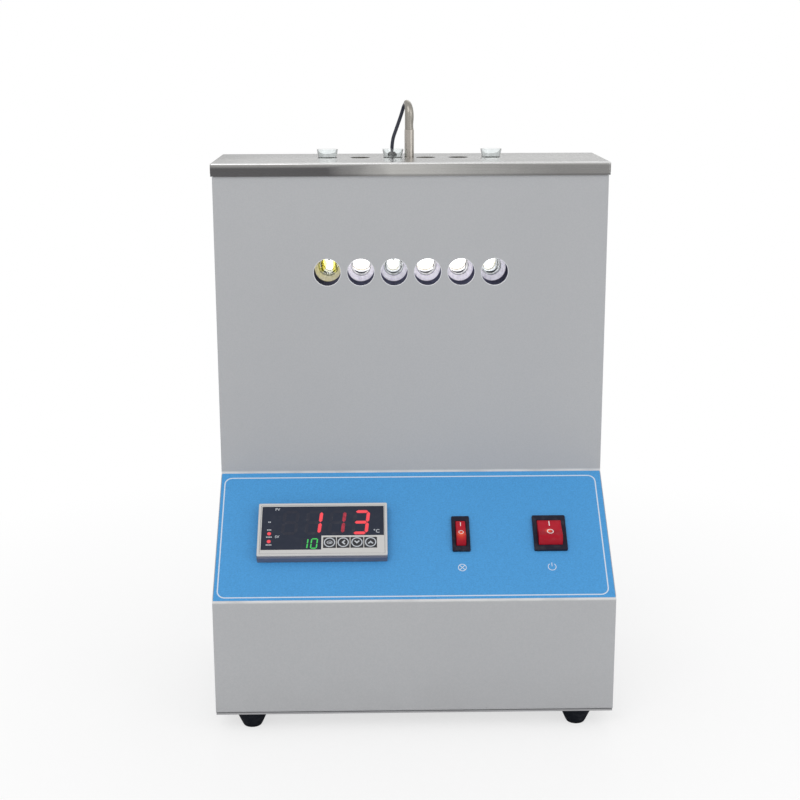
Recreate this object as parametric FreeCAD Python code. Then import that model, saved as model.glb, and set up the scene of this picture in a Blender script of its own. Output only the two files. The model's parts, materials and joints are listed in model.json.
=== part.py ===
import FreeCAD, Part
import math
import os
from FreeCAD import Placement, Rotation, Vector

# Dropping point tester: a sheet-metal tower with a heated, drilled block that takes six
# glass tubes, and a base with a sloping console. Millimetres, +X to the right, +Y to the
# back, +Z up. The origin is on the table, below the middle of the outline.

# Casing sheet
case_width = 292.0
case_wall = 1.2
bend_inside = 0.8
flange_width = 9.0
base_front_height = 88.4
console_run = 91.3
console_rise = 69.5
case_height = 394.2
tower_depth = 90.0
plate_wall = 1.2
sheet_gap = 0.3

# Stainless cover
cover_wall = 1.2
cover_lip = 9.9
cover_gap = 0.1
cover_bend = 2.0
cover_corner = 1.6
cover_relief = 2.4

# Rubber feet
foot_height = 13.0
foot_top_radius = 10.5
foot_bottom_radius = 6.2
foot_edge = 1.6
foot_side_inset = 25.7
foot_inset = 12.5
foot_sink_radius = 3.9
foot_sink_depth = 4.5

# Tube row and viewing holes
tube_pitch = 25.0
tube_places = 6
place_filled = (True, False, True, False, False, True)
row_setback = 48.0
sight_drop = 81.2
sight_hole_radius = 10.0

# Glass tubes, hung by their flared rims in the cover
tube_radius = 6.75
tube_wall = 0.95
tube_length = 101.0
rim_radius = 8.15
rim_stand = 6.3
flare_height = 7.6
tube_hole_radius = 7.5
dimple_height = 19.0
dimple_radius = 2.6
dimple_reach = 1.9
dimple_nose = 0.45

# Grease cups
cup_radius = 3.95
cup_rim_radius = 4.3
cup_height = 12.0
cup_wall = 0.75
cup_nose_height = 3.2
cup_drip_radius = 1.4
cup_seat_gap = 0.3

# Drilled heating block
block_width = 164.0
block_depth = 28.0
bore_radius = 7.15
bore_floor_gap = 0.3
passage_radius = 7.1
block_floor = 21.0
heater_radius = 5.0
heater_recess = 4.0
heater_rise = 10.0
heater_spread = 14.0
heater_clearance = 0.05
rear_passage_radius = 7.9

# Sleeves with coned bores, and the black board that carries them
sleeve_front = 22.5
sleeve_length = 11.5
sleeve_radius = 10.3
cone_mouth_radius = 9.9
cone_length = 15.5
sleeve_clearance = 0.1
front_board_wall = 8.0
oven_screw_inset = 7.0
oven_screw_grip = 7.0
oven_screw_tip_room = 1.0

# Insulation
side_board_wall = 12.0
top_board_gap = 14.0
top_slot_width = 17.0
bottom_board_wall = 12.0
rear_board_wall = 8.0

# Light behind the block
light_box_height = 30.0
light_box_gap = 2.3
light_box_wall = 1.2
diffuser_wall = 2.0
led_board_wall = 1.6
led_size = 5.0
led_height = 1.4
led_dome_radius = 2.0
led_board_width = 16.0
led_board_margin = 3.0
fit_gap = 0.1

# Stand of the block
stand_wall = 2.0
stand_leg_spread = 124.0
stand_foot = 16.0
stand_lip = 8.0
stand_window_width = 24.0
stand_window_rise = 40.0
stand_window_drop = 30.0
stand_screw_spread = 24.0

# Probe and its lead
collar_radius = 3.6
collar_stand = 21.2
probe_bore_radius = 2.6
probe_clearance = 0.08
probe_head_radius = 3.3
probe_depth_below_block = 62.0
probe_straight_height = 34.0
lead_diameter = 2.7
grommet_radius = 4.6
grommet_neck_radius = 3.1
grommet_height = 3.0
lead_route = (
    Vector(-1.9, 8.4, 40.6),
    Vector(-3.2, 17.4, 39.8),
    Vector(-5.4, 22.2, 31.6),
    Vector(-9.4, 21.8, 20.6),
    Vector(-13.0, 19.0, 11.0),
    Vector(-13.0, 19.0, 3.0),
)

# Console film
film_wall = 0.4
film_side_margin = 0.6
film_end_margin = 2.0

# Panel meter, its centre on the console
meter_width = 96.0
meter_height = 48.0
meter_x = -67.2
meter_up = 56.8
meter_stand = 7.3
meter_body_width = 91.5
meter_body_height = 44.5
meter_body_depth = 68.0
cutout_clearance = 0.25
bezel_edge = 1.0
faceplate_wall = 1.2
faceplate_rim = 1.7
faceplate_setback = 1.5
faceplate_step = 0.4
pocket_border = 2.6
pocket_floor = 1.6
board_wall = 1.6
board_margin = 0.5
digit_gap = 0.3
digit_margins = (14.0, 4.0, 3.0, 2.0)
small_digit_margins = (10.0, 3.0, 1.0, 1.0)
window_wall = 0.8
window_left = -45.2
window_right = 45.4
window_top = 21.3
window_middle = -4.7
window_bottom = -17.0
window_split = -0.9
key_size = 9.0
key_pitch = 10.1
key_first = 5.3
key_up = -11.1
key_gap = 0.2
key_stand = 0.2
key_travel = 0.5
key_corner = 0.5
key_stem = 0.8
key_names = ("key_set", "key_shift", "key_down", "key_up")
clamp_width = 12.0
clamp_height = 7.0
clamp_length = 34.0

# Rocker switches, their centres on the console
switch_up = 56.0
switch_height = 30.8
switch_bezel = 2.0
switch_corner = 1.0
switch_body_margin = 1.6
switch_body_depth = 22.0
power_switch_x = 102.0
power_switch_width = 24.8
power_rocker_width = 17.8
light_switch_x = 35.6
light_switch_width = 13.4
light_rocker_width = 7.1
rocker_sweep = 11.7
rocker_pivot_depth = 2.4
rocker_middle = 5.0
rocker_facet = 5.0
rocker_tilt = 17.0
rocker_gap = 0.3
rocker_below = 3.4
trunnion_radius = 1.25
trunnion_length = 1.0
trunnion_clearance = 0.05
blade_width = 4.8
blade_wall = 0.8
blade_length = 8.0
blade_spread = 7.0

# Mains inlet with its fuse drawer
inlet_x = -88.0
inlet_rise = 47.0
inlet_width = 50.0
inlet_height = 36.0
inlet_flange = 2.2
inlet_corner = 4.0
inlet_body_width = 30.0
inlet_body_height = 32.0
inlet_body_depth = 26.0
socket_width = 24.4
socket_height = 16.4
socket_corner = 4.6
socket_depth = 16.5
socket_rise = 5.2
pin_width = 4.0
pin_wall = 2.0
pin_length = 14.0
pin_spread = 7.0
pin_offset = 2.0
drawer_width = 25.0
drawer_height = 7.6
drawer_drop = 10.4
drawer_length = 21.0
drawer_stand = 0.8
drawer_wall = 1.0
drawer_notch_width = 8.0
drawer_notch_depth = 1.2
drawer_notch_height = 1.6
fuse_radius = 2.6
fuse_length = 20.0

# Vents
vent_width = 3.6
vent_length = 30.0
vent_pitch = 9.0
rear_vent_count = 15
bottom_vent_count = 9
upper_vent_drop = 46.0
lower_vent_rise = 150.0

# Screws
screw_radius = 1.5
screw_head_radius = 2.9
screw_head_height = 1.8
screw_hole_radius = 1.7
screw_grip = 5.0
foot_screw_radius = 1.9
foot_head_radius = 3.6
foot_head_height = 2.4
foot_nut_radius = 4.0
foot_nut_height = 3.0
rear_screw_rows = (16.0, 190.0, 372.0)
inlet_screw_spread = 40.0

# Electrics in the base
relay_size = (45.0, 58.0, 27.0)
relay_place = (60.0, 82.0)
relay_recess = 9.0
relay_recess_depth = 5.4
supply_size = (74.0, 36.0, 26.0)
supply_place = (-52.0, 48.0)
supply_tab_reach = 8.0
supply_tab_width = 18.0
supply_tab_wall = 1.6
terminal_size = (66.0, 20.0, 16.0)
terminal_place = (-20.0, 84.0)
terminal_ways = 6
terminal_wall = 1.6
terminal_base_height = 7.2
terminal_end_margin = 1.0
cutout_radius = 8.0
cutout_height = 7.0
cutout_pocket = 9.5
cutout_flange_radius = 9.2
cutout_flange_wall = 1.0
cutout_tag_drop = 4.2
cutout_tag_rise = 3.4

# What follows from the sizes above
case_depth = console_run + tower_depth
reach = case_depth + inlet_flange + drawer_stand
front_y = -reach / 2
tower_y = front_y + console_run
back_y = front_y + case_depth
row_y = tower_y + row_setback
sheet_bottom = foot_height + plate_wall
cover_top = foot_height + case_height
sheet_top = cover_top - cover_wall
console_low = foot_height + base_front_height
console_high = console_low + console_rise
console_angle = math.degrees(math.atan2(console_rise, console_run))
console_length = math.hypot(console_run, console_rise)
console = Placement(Vector(0, front_y, console_low), Rotation(Vector(1, 0, 0), console_angle))
half_width = case_width / 2
foot_spread = case_width - 2 * foot_side_inset
heater_length = block_width - 2 * heater_recess
filled_places = [place for place, filled in enumerate(place_filled, 1) if filled]
sight_z = cover_top - sight_drop
block_top = sheet_top - top_board_gap
tube_bottom = cover_top + rim_stand - tube_length
bore_floor = tube_bottom - bore_floor_gap
block_bottom = bore_floor - block_floor
block_front = tower_y + sleeve_front + sleeve_length
block_back = block_front + block_depth
heater_z = block_bottom + heater_rise
light_back = back_y - plate_wall - light_box_gap
shelf_top = block_bottom - bottom_board_wall
tube_x = [tube_pitch * (place - (tube_places - 1) / 2) for place in range(tube_places)]
row_width = tube_pitch * (tube_places - 1)
light_box_width = row_width + light_box_height
switch_body_height = switch_height - 2 * switch_body_margin
bezel_top = film_wall + switch_bezel


def cuboid(x, y, z):
    """A box from three (low, high) pairs."""
    return Part.makeBox(x[1] - x[0], y[1] - y[0], z[1] - z[0], Vector(x[0], y[0], z[0]))


def centred(width, depth, height, centre, base):
    """A box centred on a point in X and Y that stands at a base height."""
    low = Vector(centre[0] - width / 2, centre[1] - depth / 2, base)
    return Part.makeBox(width, depth, height, low)


def rod(radius, start, end):
    """A round bar between two points."""
    way = end - start
    return Part.makeCylinder(radius, way.Length, start, way)


def turned(outline, base=Vector(0, 0, 0), axis=Vector(0, 0, 1)):
    """A turned piece from its half outline, a list of (radius, height)."""
    points = [Vector(radius, 0, height) for radius, height in outline]
    face = Part.Face(Part.makePolygon(points + points[:1]))
    piece = face.revolve(Vector(0, 0, 0), Vector(0, 0, 1), 360)
    solid = Part.makeSolid(piece) if piece.ShapeType == "Shell" else piece
    solid.Placement = Placement(base, Rotation(Vector(0, 0, 1), axis))
    return solid


def slab(outline, low, high):
    """An outline in X and Y, drawn from one height to another."""
    points = [Vector(x, y, low) for x, y in outline]
    return Part.Face(Part.makePolygon(points + points[:1])).extrude(Vector(0, 0, high - low))


def rounded_run(points, radii):
    """Edges along a line of points, with an arc of the given radius at each inner point."""
    edges = []
    start = points[0]
    for before, corner, after, radius in zip(points, points[1:], points[2:], radii):
        way_in = (corner - before).normalize()
        way_out = (after - corner).normalize()
        half_turn = way_in.getAngle(way_out) / 2
        setback = radius * math.tan(half_turn)
        to_centre = (way_out - way_in).normalize()
        middle = corner + to_centre * (radius / math.cos(half_turn) - radius)
        arc_start = corner - way_in * setback
        arc_end = corner + way_out * setback
        edges.append(Part.makeLine(start, arc_start))
        edges.append(Part.Arc(arc_start, middle, arc_end).toShape())
        start = arc_end
    edges.append(Part.makeLine(start, points[-1]))
    return edges


def beside(points, wall):
    """The line of (y, z) points moved one wall to the right of its own direction."""
    ways = [(b - a).normalize() for a, b in zip(points, points[1:])]
    sides = [Vector(0, way.z, -way.y) for way in ways]
    moved = [points[0] + sides[0] * wall]
    for corner, first, second in zip(points[1:], sides, sides[1:]):
        moved.append(corner + (first + second) * (wall / (1 + first.dot(second))))
    moved.append(points[-1] + sides[-1] * wall)
    return moved


def upright(width, height, radius, low, high, centre=(0, 0)):
    """A plate with rounded corners, drawn from one height to another."""
    x, y = width / 2, height / 2
    corners = [Vector(0, -y, 0), Vector(x, -y, 0), Vector(x, y, 0), Vector(-x, y, 0), Vector(-x, -y, 0)]
    run = rounded_run(corners + corners[:1], [radius] * 4)
    plate = Part.Face(Part.Wire(run)).extrude(Vector(0, 0, high - low))
    plate.translate(Vector(centre[0], centre[1], low))
    return plate


def on_console(shape):
    """Sets a shape drawn on a level console onto the sloping one."""
    shape.Placement = console.multiply(shape.Placement)
    return shape


def all_of(shapes):
    """Several solids of one node."""
    return Part.makeCompound(shapes)


def pan_screw(seat, inward, length):
    """A pan-head screw with its head on a seat and its shank going inward."""
    crown = screw_head_height * 0.45
    outline = [
        (0, -screw_head_height), (screw_head_radius * 0.7, -screw_head_height),
        (screw_head_radius, -crown), (screw_head_radius, 0), (screw_radius, 0),
        (screw_radius, length), (0, length),
    ]
    return turned(outline, seat, inward)


def front_line():
    """The front sheet's outer line in section, from its bottom flange to its top one."""
    rows = (
        (front_y + flange_width, sheet_bottom), (front_y, sheet_bottom), (front_y, console_low),
        (tower_y, console_high), (tower_y, sheet_top), (tower_y + flange_width, sheet_top),
    )
    return [Vector(0, y, z) for y, z in rows]


def side_panel(side):
    """An L-shaped side wall with flanges along its bottom, back and top."""
    inner = half_width - case_wall
    line = beside(front_line(), case_wall)
    points = [
        Vector(0, back_y, sheet_bottom), Vector(0, line[1].y, sheet_bottom), line[2], line[3],
        Vector(0, line[4].y, sheet_top), Vector(0, back_y, sheet_top),
    ]
    run = rounded_run(points, [0.01, bend_inside, bend_inside + case_wall, 0.01])
    run.append(Part.makeLine(points[-1], points[0]))
    wall = Part.Face(Part.Wire(run)).extrude(Vector(case_wall, 0, 0))
    wall.translate(Vector(inner, 0, 0))
    flange = (inner - flange_width, inner + case_wall / 2)
    flange_back = back_y - case_wall
    first = front_y + flange_width + sheet_gap
    first_top = tower_y + flange_width + sheet_gap
    bottom = cuboid(flange, (first, flange_back), (sheet_bottom, sheet_bottom + case_wall))
    top = cuboid(flange, (first_top, flange_back), (sheet_top - case_wall, sheet_top))
    rear = cuboid(flange, (flange_back - case_wall, flange_back), (sheet_bottom, sheet_top))
    panel = wall.fuse([bottom, top, rear]).removeSplitter()
    for seat in rear_screw_seats(1):
        panel = panel.cut(rod(screw_radius, seat, seat - Vector(0, screw_grip, 0)))
    if side < 0:
        panel = panel.mirror(Vector(0, 0, 0), Vector(1, 0, 0))
    return panel


def front_panel(sides):
    """The folded front sheet: base front, console face and tower front."""
    line = front_line()
    inner = beside(line, case_wall)
    wide = bend_inside + case_wall
    outer_run = rounded_run(line, [wide, wide, bend_inside, wide])
    inner_run = rounded_run(inner, [bend_inside, bend_inside, wide, bend_inside])
    ends = [Part.makeLine(line[0], inner[0]), Part.makeLine(line[-1], inner[-1])]
    section = Part.Face(Part.Wire(Part.__sortEdges__(outer_run + inner_run + ends)))
    sheet = section.extrude(Vector(case_width, 0, 0))
    sheet.translate(Vector(-half_width, 0, 0))
    sheet = sheet.cut(sides)
    holes = [rod(sight_hole_radius, Vector(x, tower_y - 1, sight_z), Vector(x, tower_y + 3, sight_z))
             for x in tube_x]
    depth = 2 * case_wall
    wide_cut = meter_body_width + 2 * cutout_clearance
    high_cut = meter_body_height + 2 * cutout_clearance
    holes.append(on_console(centred(wide_cut, high_cut, 2 * depth, (meter_x, meter_up), -depth)))
    for x, width in ((power_switch_x, power_switch_width), (light_switch_x, light_switch_width)):
        size = switch_body_width(width) + 2 * cutout_clearance
        high = switch_body_height + 2 * cutout_clearance
        holes.append(on_console(centred(size, high, 2 * depth, (x, switch_up), -depth)))
    return sheet.cut(holes)


def console_overlay():
    """The printed film on the console face, cut out for the meter and the switches."""
    width = case_width - 2 * film_side_margin
    film = cuboid((-width / 2, width / 2), (film_end_margin, console_length - film_end_margin),
                  (0, film_wall))
    holes = [centred(meter_body_width + 2 * cutout_clearance, meter_body_height + 2 * cutout_clearance,
                     3 * film_wall, (meter_x, meter_up), -film_wall)]
    for x, width in ((power_switch_x, power_switch_width), (light_switch_x, light_switch_width)):
        holes.append(centred(switch_body_width(width) + 2 * cutout_clearance,
                             switch_body_height + 2 * cutout_clearance,
                             3 * film_wall, (x, switch_up), -film_wall))
    return on_console(film.cut(holes))


def slots(count, centre, across, along, through):
    """A row of round-ended slots: count along X, each long in one way, cut through another."""
    cutters = []
    for index in range(count):
        middle = centre + Vector((index - (count - 1) / 2) * vent_pitch, 0, 0)
        half = along * ((vent_length - vent_width) / 2)
        ends = [rod(vent_width / 2, middle + half * sign - through, middle + half * sign + through)
                for sign in (-1, 1)]
        size = across * vent_width + along * (2 * half.Length) + through * 2
        bar = Part.makeBox(abs(size.x), abs(size.y), abs(size.z), middle - size * 0.5)
        cutters.append(bar.fuse(ends))
    return cutters


def rear_screw_seats(side):
    """Where the rear panel's screws seat on one side, on the panel's outer face."""
    x = side * (half_width - case_wall - flange_width / 2)
    return [Vector(x, back_y, foot_height + row) for row in rear_screw_rows]


def rear_panel():
    """The rear sheet with two rows of vent slots and the inlet's cut-out."""
    side = half_width - case_wall - sheet_gap
    sheet = cuboid((-side, side), (back_y - case_wall, back_y),
                   (sheet_bottom + sheet_gap, sheet_top - sheet_gap))
    through = Vector(0, 2 * case_wall, 0)
    rows = (cover_top - upper_vent_drop, foot_height + lower_vent_rise)
    cutters = []
    for z in rows:
        cutters += slots(rear_vent_count, Vector(0, back_y, z), Vector(1, 0, 0), Vector(0, 0, 1), through)
    for side in (-1, 1):
        cutters += [rod(screw_hole_radius, seat - through, seat + through)
                    for seat in rear_screw_seats(side)]
    body = inlet_body_width / 2 + cutout_clearance
    rise = inlet_body_height / 2 + cutout_clearance
    cutters.append(cuboid((inlet_x - body, inlet_x + body), (back_y - 3 * case_wall, back_y + case_wall),
                          (inlet_z() - rise, inlet_z() + rise)))
    for sign in (-1, 1):
        seat = Vector(inlet_x + sign * inlet_screw_spread / 2, back_y, inlet_z())
        cutters.append(rod(screw_hole_radius, seat - through, seat + through))
    return sheet.cut(cutters)


def rear_panel_screws():
    """Six pan-head screws that hold the rear panel to the side flanges."""
    seats = rear_screw_seats(-1) + rear_screw_seats(1)
    return all_of([pan_screw(seat, Vector(0, -1, 0), screw_grip) for seat in seats])


def foot_places():
    """The four feet: name and centre."""
    places = {}
    for end, y in (("front", front_y + foot_inset), ("rear", back_y - foot_inset)):
        for side, x in (("left", -foot_spread / 2), ("right", foot_spread / 2)):
            places[f"foot_{end}_{side}"] = Vector(x, y, 0)
    return places


def bottom_plate():
    """The bottom sheet with vent slots and the holes of the foot screws."""
    side = half_width - sheet_gap
    sheet = cuboid((-side, side), (front_y + sheet_gap, back_y - sheet_gap), (foot_height, sheet_bottom))
    middle = Vector(0, (front_y + back_y) / 2, foot_height)
    through = Vector(0, 0, 2 * plate_wall)
    cutters = slots(bottom_vent_count, middle, Vector(1, 0, 0), Vector(0, 1, 0), through)
    for place in foot_places().values():
        cutters.append(rod(foot_screw_radius + 0.2, place, place + Vector(0, 0, 2 * foot_height)))
    return sheet.cut(cutters)


def foot(place):
    """A tapered rubber foot with a sunk hole for its screw."""
    hole = foot_screw_radius + 0.2
    outline = [
        (foot_sink_radius, 0), (foot_bottom_radius - foot_edge / 2, 0),
        (foot_bottom_radius, foot_edge), (foot_top_radius, foot_height), (hole, foot_height),
        (hole, foot_sink_depth), (foot_sink_radius, foot_sink_depth),
    ]
    return turned(outline, place)


def foot_screws():
    """The feet's screws and nuts."""
    pieces = []
    for place in foot_places().values():
        tip = sheet_bottom + foot_nut_height + 2
        outline = [
            (0, foot_sink_depth - foot_head_height), (foot_head_radius, foot_sink_depth - foot_head_height),
            (foot_head_radius, foot_sink_depth), (foot_screw_radius, foot_sink_depth),
            (foot_screw_radius, tip), (0, tip),
        ]
        screw = turned(outline, place)
        base = place + Vector(0, 0, sheet_bottom)
        nut = six_sided(foot_nut_radius, foot_nut_height, base)
        pieces.append(screw.fuse(nut))
    return all_of(pieces)


def six_sided(radius, height, base):
    """A hexagonal nut blank on a base point."""
    turns = [math.radians(60 * index) for index in range(6)]
    points = [base + Vector(radius * math.cos(turn), radius * math.sin(turn), 0) for turn in turns]
    return Part.Face(Part.makePolygon(points + points[:1])).extrude(Vector(0, 0, height))


def top_cover():
    """The stainless cap: a folded sheet with a lip all round and the tube holes."""
    side = half_width + cover_gap
    front = tower_y - cover_gap
    back = back_y + cover_gap
    low = cover_top - cover_lip
    outer = cuboid((-side - cover_wall, side + cover_wall), (front - cover_wall, back + cover_wall),
                   (low, cover_top))
    edges = [edge for edge in outer.Edges if edge.BoundBox.ZMin > cover_top - 0.01]
    posts = [edge for edge in outer.Edges if edge.BoundBox.ZLength > cover_lip / 2]
    outer = outer.makeFillet(cover_corner, posts)
    edges = [edge for edge in outer.Edges if edge.BoundBox.ZMin > cover_top - 0.01]
    outer = outer.makeFillet(cover_bend - 0.5, edges)
    hollow = cuboid((-side, side), (front, back), (low - 1, sheet_top))
    cap = outer.cut(hollow)
    edge_x, edge_y = side + cover_wall, back + cover_wall
    for sign in (-1, 1):
        end = sign * edge_x
        points = [Vector(end, edge_y, low), Vector(end - sign * cover_relief, edge_y, low),
                  Vector(end, edge_y, low + cover_relief)]
        wedge = Part.Face(Part.makePolygon(points + points[:1]))
        cap = cap.cut([wedge.extrude(Vector(0, -cover_relief, 0)),
                       wedge.extrude(Vector(0, cover_relief, 0)).translated(
                           Vector(0, front - cover_wall - edge_y, 0))])
    holes = [rod(tube_hole_radius, Vector(x, row_y, low), Vector(x, row_y, cover_top + 1)) for x in tube_x]
    holes.append(rod(collar_radius + fit_gap, Vector(0, row_y, low), Vector(0, row_y, cover_top + 1)))
    exit_point = lead_point(-1)
    holes.append(rod(grommet_neck_radius, Vector(exit_point.x, exit_point.y, low),
                     Vector(exit_point.x, exit_point.y, cover_top + 1)))
    return cap.cut(holes)


def heating_block():
    """The aluminium block: tube bores, sight passages, heater bores and the probe's bore."""
    body = cuboid((-block_width / 2, block_width / 2), (block_front, block_back), (block_bottom, block_top))
    cutters = []
    cone_end = tower_y + sleeve_front + cone_length
    for x in tube_x:
        cutters.append(rod(bore_radius, Vector(x, row_y, bore_floor), Vector(x, row_y, block_top + 1)))
        cutters.append(rod(passage_radius, Vector(x, block_front - 1, sight_z), Vector(x, row_y, sight_z)))
        cutters.append(rod(rear_passage_radius, Vector(x, row_y + bore_radius / 2, sight_z),
                           Vector(x, block_back + 1, sight_z)))
        mouth = cone_radius_at(block_front)
        cutters.append(Part.makeCone(mouth, passage_radius, cone_end - block_front,
                                     Vector(x, block_front, sight_z), Vector(0, 1, 0)))
    for sign in (-1, 1):
        y = row_y + sign * heater_spread / 2
        cutters.append(rod(heater_radius + heater_clearance, Vector(-block_width, y, heater_z),
                           Vector(block_width, y, heater_z)))
    cutters.append(rod(probe_bore_radius, Vector(0, row_y, block_top - probe_depth_below_block - 1),
                       Vector(0, row_y, block_top + 1)))
    for seat in oven_screw_seats():
        depth = front_board_wall + oven_screw_grip + oven_screw_tip_room
        cutters.append(rod(screw_radius, seat, seat + Vector(0, depth, 0)))
    return body.cut(cutters)


def cone_radius_at(y):
    """The cone's radius at a distance behind the tower front."""
    share = (y - tower_y - sleeve_front) / cone_length
    return cone_mouth_radius + (passage_radius - cone_mouth_radius) * share


def sight_sleeves():
    """Six turned rings with coned bores, seated on the block's front face."""
    inner_end = cone_radius_at(block_front)
    outline = [
        (cone_mouth_radius, 0), (sleeve_radius - 0.1, 0), (sleeve_radius, 0.2),
        (sleeve_radius, sleeve_length), (inner_end, sleeve_length),
    ]
    front = tower_y + sleeve_front
    return all_of([turned(outline, Vector(x, front, sight_z), Vector(0, 1, 0)) for x in tube_x])


def oven_screw_seats():
    """Where the front board's screws seat, on the board's front face."""
    x = block_width / 2 - oven_screw_inset
    y = block_front - front_board_wall
    low = heater_z + heater_radius + 2 * screw_hole_radius
    return [Vector(sx * x, y, z) for sx in (-1, 1) for z in (low, block_top - 2 * screw_hole_radius)]


def front_board():
    """The black board in front of the block, bored for the sleeves."""
    half = block_width / 2 + side_board_wall
    board = cuboid((-half, half), (block_front - front_board_wall, block_front), (block_bottom, block_top))
    cutters = [rod(sleeve_radius + sleeve_clearance, Vector(x, block_front - 2 * front_board_wall, sight_z),
                   Vector(x, block_front + 1, sight_z)) for x in tube_x]
    for seat in oven_screw_seats():
        through = Vector(0, 2 * front_board_wall, 0)
        cutters.append(rod(screw_hole_radius, seat - through, seat + through))
    return board.cut(cutters)


def oven_screws():
    """Four screws that hold the front board on the block."""
    length = front_board_wall + oven_screw_grip
    return all_of([pan_screw(seat, Vector(0, 1, 0), length) for seat in oven_screw_seats()])


def insulation_rear():
    """The board behind the block, with the six light passages."""
    half = block_width / 2 + side_board_wall
    board = cuboid((-half, half), (block_back, block_back + rear_board_wall), (block_bottom, block_top))
    cutters = [rod(rear_passage_radius, Vector(x, block_back - 1, sight_z),
                   Vector(x, block_back + rear_board_wall + 1, sight_z)) for x in tube_x]
    return board.cut(cutters)


def insulation_top():
    """The board between the block and the cover, with one long slot for tubes and probe."""
    half = block_width / 2 + side_board_wall
    board = cuboid((-half, half), (block_front, block_back), (block_top, sheet_top))
    ends = row_width / 2
    radius = top_slot_width / 2
    slot = cuboid((-ends, ends), (row_y - radius, row_y + radius), (block_top - 1, sheet_top + 1))
    rounds = [rod(radius, Vector(x, row_y, block_top - 1), Vector(x, row_y, sheet_top + 1))
              for x in (-ends, ends)]
    return board.cut(slot.fuse(rounds))


def insulation_bottom():
    """The board under the block."""
    half = block_width / 2 + side_board_wall
    return cuboid((-half, half), (block_front - front_board_wall, block_back + rear_board_wall),
                  (shelf_top, block_bottom))


def insulation_side(side):
    """A board at one end of the block; the left one has the cut-out's pocket."""
    inner = block_width / 2
    outer = inner + side_board_wall
    board = cuboid((inner, outer), (block_front, block_back), (block_bottom, block_top))
    if side > 0:
        return board
    board = board.mirror(Vector(0, 0, 0), Vector(1, 0, 0))
    seat = cutout_seat()
    return board.cut(rod(cutout_pocket, seat + Vector(1, 0, 0), seat - Vector(side_board_wall + 1, 0, 0)))


def cutout_seat():
    """Where the thermal cut-out seats on the block's left end."""
    return Vector(-block_width / 2, row_y, (block_bottom + block_top) / 2)


def thermal_cutout():
    """The bimetal over-temperature switch on the block's left end, with its two tags."""
    seat = cutout_seat()
    outline = [
        (0, 0), (cutout_flange_radius, 0), (cutout_flange_radius, cutout_flange_wall),
        (cutout_radius, cutout_flange_wall), (cutout_radius, cutout_height - 1),
        (cutout_radius - 1, cutout_height), (0, cutout_height),
    ]
    body = turned(outline, seat, Vector(-1, 0, 0))
    tags = [cuboid((seat.x - cutout_height - blade_length, seat.x - cutout_height + 1),
                   (seat.y - blade_width / 2, seat.y + blade_width / 2), (z, z + blade_wall))
            for z in (seat.z - cutout_tag_drop, seat.z + cutout_tag_rise)]
    return body.fuse(tags)


def cartridge_heaters():
    """Two cartridge heaters across the foot of the block."""
    half = heater_length / 2
    return all_of([rod(heater_radius, Vector(-half, row_y + sign * heater_spread / 2, heater_z),
                       Vector(half, row_y + sign * heater_spread / 2, heater_z)) for sign in (-1, 1)])


def light_box():
    """The white tray behind the rear board, open towards the block."""
    half = light_box_width / 2
    low, high = sight_z - light_box_height / 2, sight_z + light_box_height / 2
    front = block_back + rear_board_wall
    tray = cuboid((-half, half), (front, light_back), (low, high))
    wall = light_box_wall
    hollow = cuboid((-half + wall, half - wall), (front - 1, light_back - wall), (low + wall, high - wall))
    return tray.cut(hollow)


def light_diffuser():
    """The opal plate in the mouth of the light box."""
    half = light_box_width / 2 - light_box_wall - fit_gap
    rise = light_box_height / 2 - light_box_wall - fit_gap
    front = block_back + rear_board_wall
    return cuboid((-half, half), (front, front + diffuser_wall), (sight_z - rise, sight_z + rise))


def led_board():
    """The strip that carries the lamps, on the back wall of the light box."""
    half = light_box_width / 2 - light_box_wall - led_board_margin
    back = light_back - light_box_wall
    rise = led_board_width / 2
    return cuboid((-half, half), (back - led_board_wall, back), (sight_z - rise, sight_z + rise))


def led_chips():
    """One lamp behind each sight passage."""
    back = light_back - light_box_wall - led_board_wall
    half = led_size / 2
    chips = []
    for x in tube_x:
        base = cuboid((x - half, x + half), (back - led_height / 2, back), (sight_z - half, sight_z + half))
        top = Vector(x, back - led_height, sight_z)
        dome = rod(led_dome_radius, top, top + Vector(0, led_height / 2, 0))
        chips.append(base.fuse(dome))
    return all_of(chips)


def oven_stand():
    """The folded stand: a shelf with two lips on two legs with feet."""
    half = block_width / 2 + side_board_wall
    front = block_front - front_board_wall - fit_gap
    back = block_back + rear_board_wall + fit_gap
    low = shelf_top - stand_wall
    shelf = cuboid((-half, half), (front - stand_wall, back + stand_wall), (low, shelf_top))
    lips = [cuboid((-half, half), (front - stand_wall, front), (low, shelf_top + stand_lip)),
            cuboid((-half, half), (back, back + stand_wall), (low, shelf_top + stand_lip))]
    legs = []
    leg = stand_leg_spread / 2
    for sign in (-1, 1):
        sides = sorted((sign * leg, sign * (leg - stand_wall)))
        legs.append(cuboid(sides, (front - stand_wall, back + stand_wall), (sheet_bottom, shelf_top)))
        toe = sorted((sign * leg, sign * (leg - stand_foot)))
        legs.append(cuboid(toe, (front - stand_wall, back + stand_wall),
                           (sheet_bottom, sheet_bottom + stand_wall)))
    stand = shelf.fuse(lips + legs).removeSplitter()
    middle = (front + back) / 2
    reach = stand_window_width / 2
    window = cuboid((-half - 1, half + 1), (middle - reach, middle + reach),
                    (sheet_bottom + stand_window_rise, low - stand_window_drop))
    return stand.cut(window)


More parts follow.
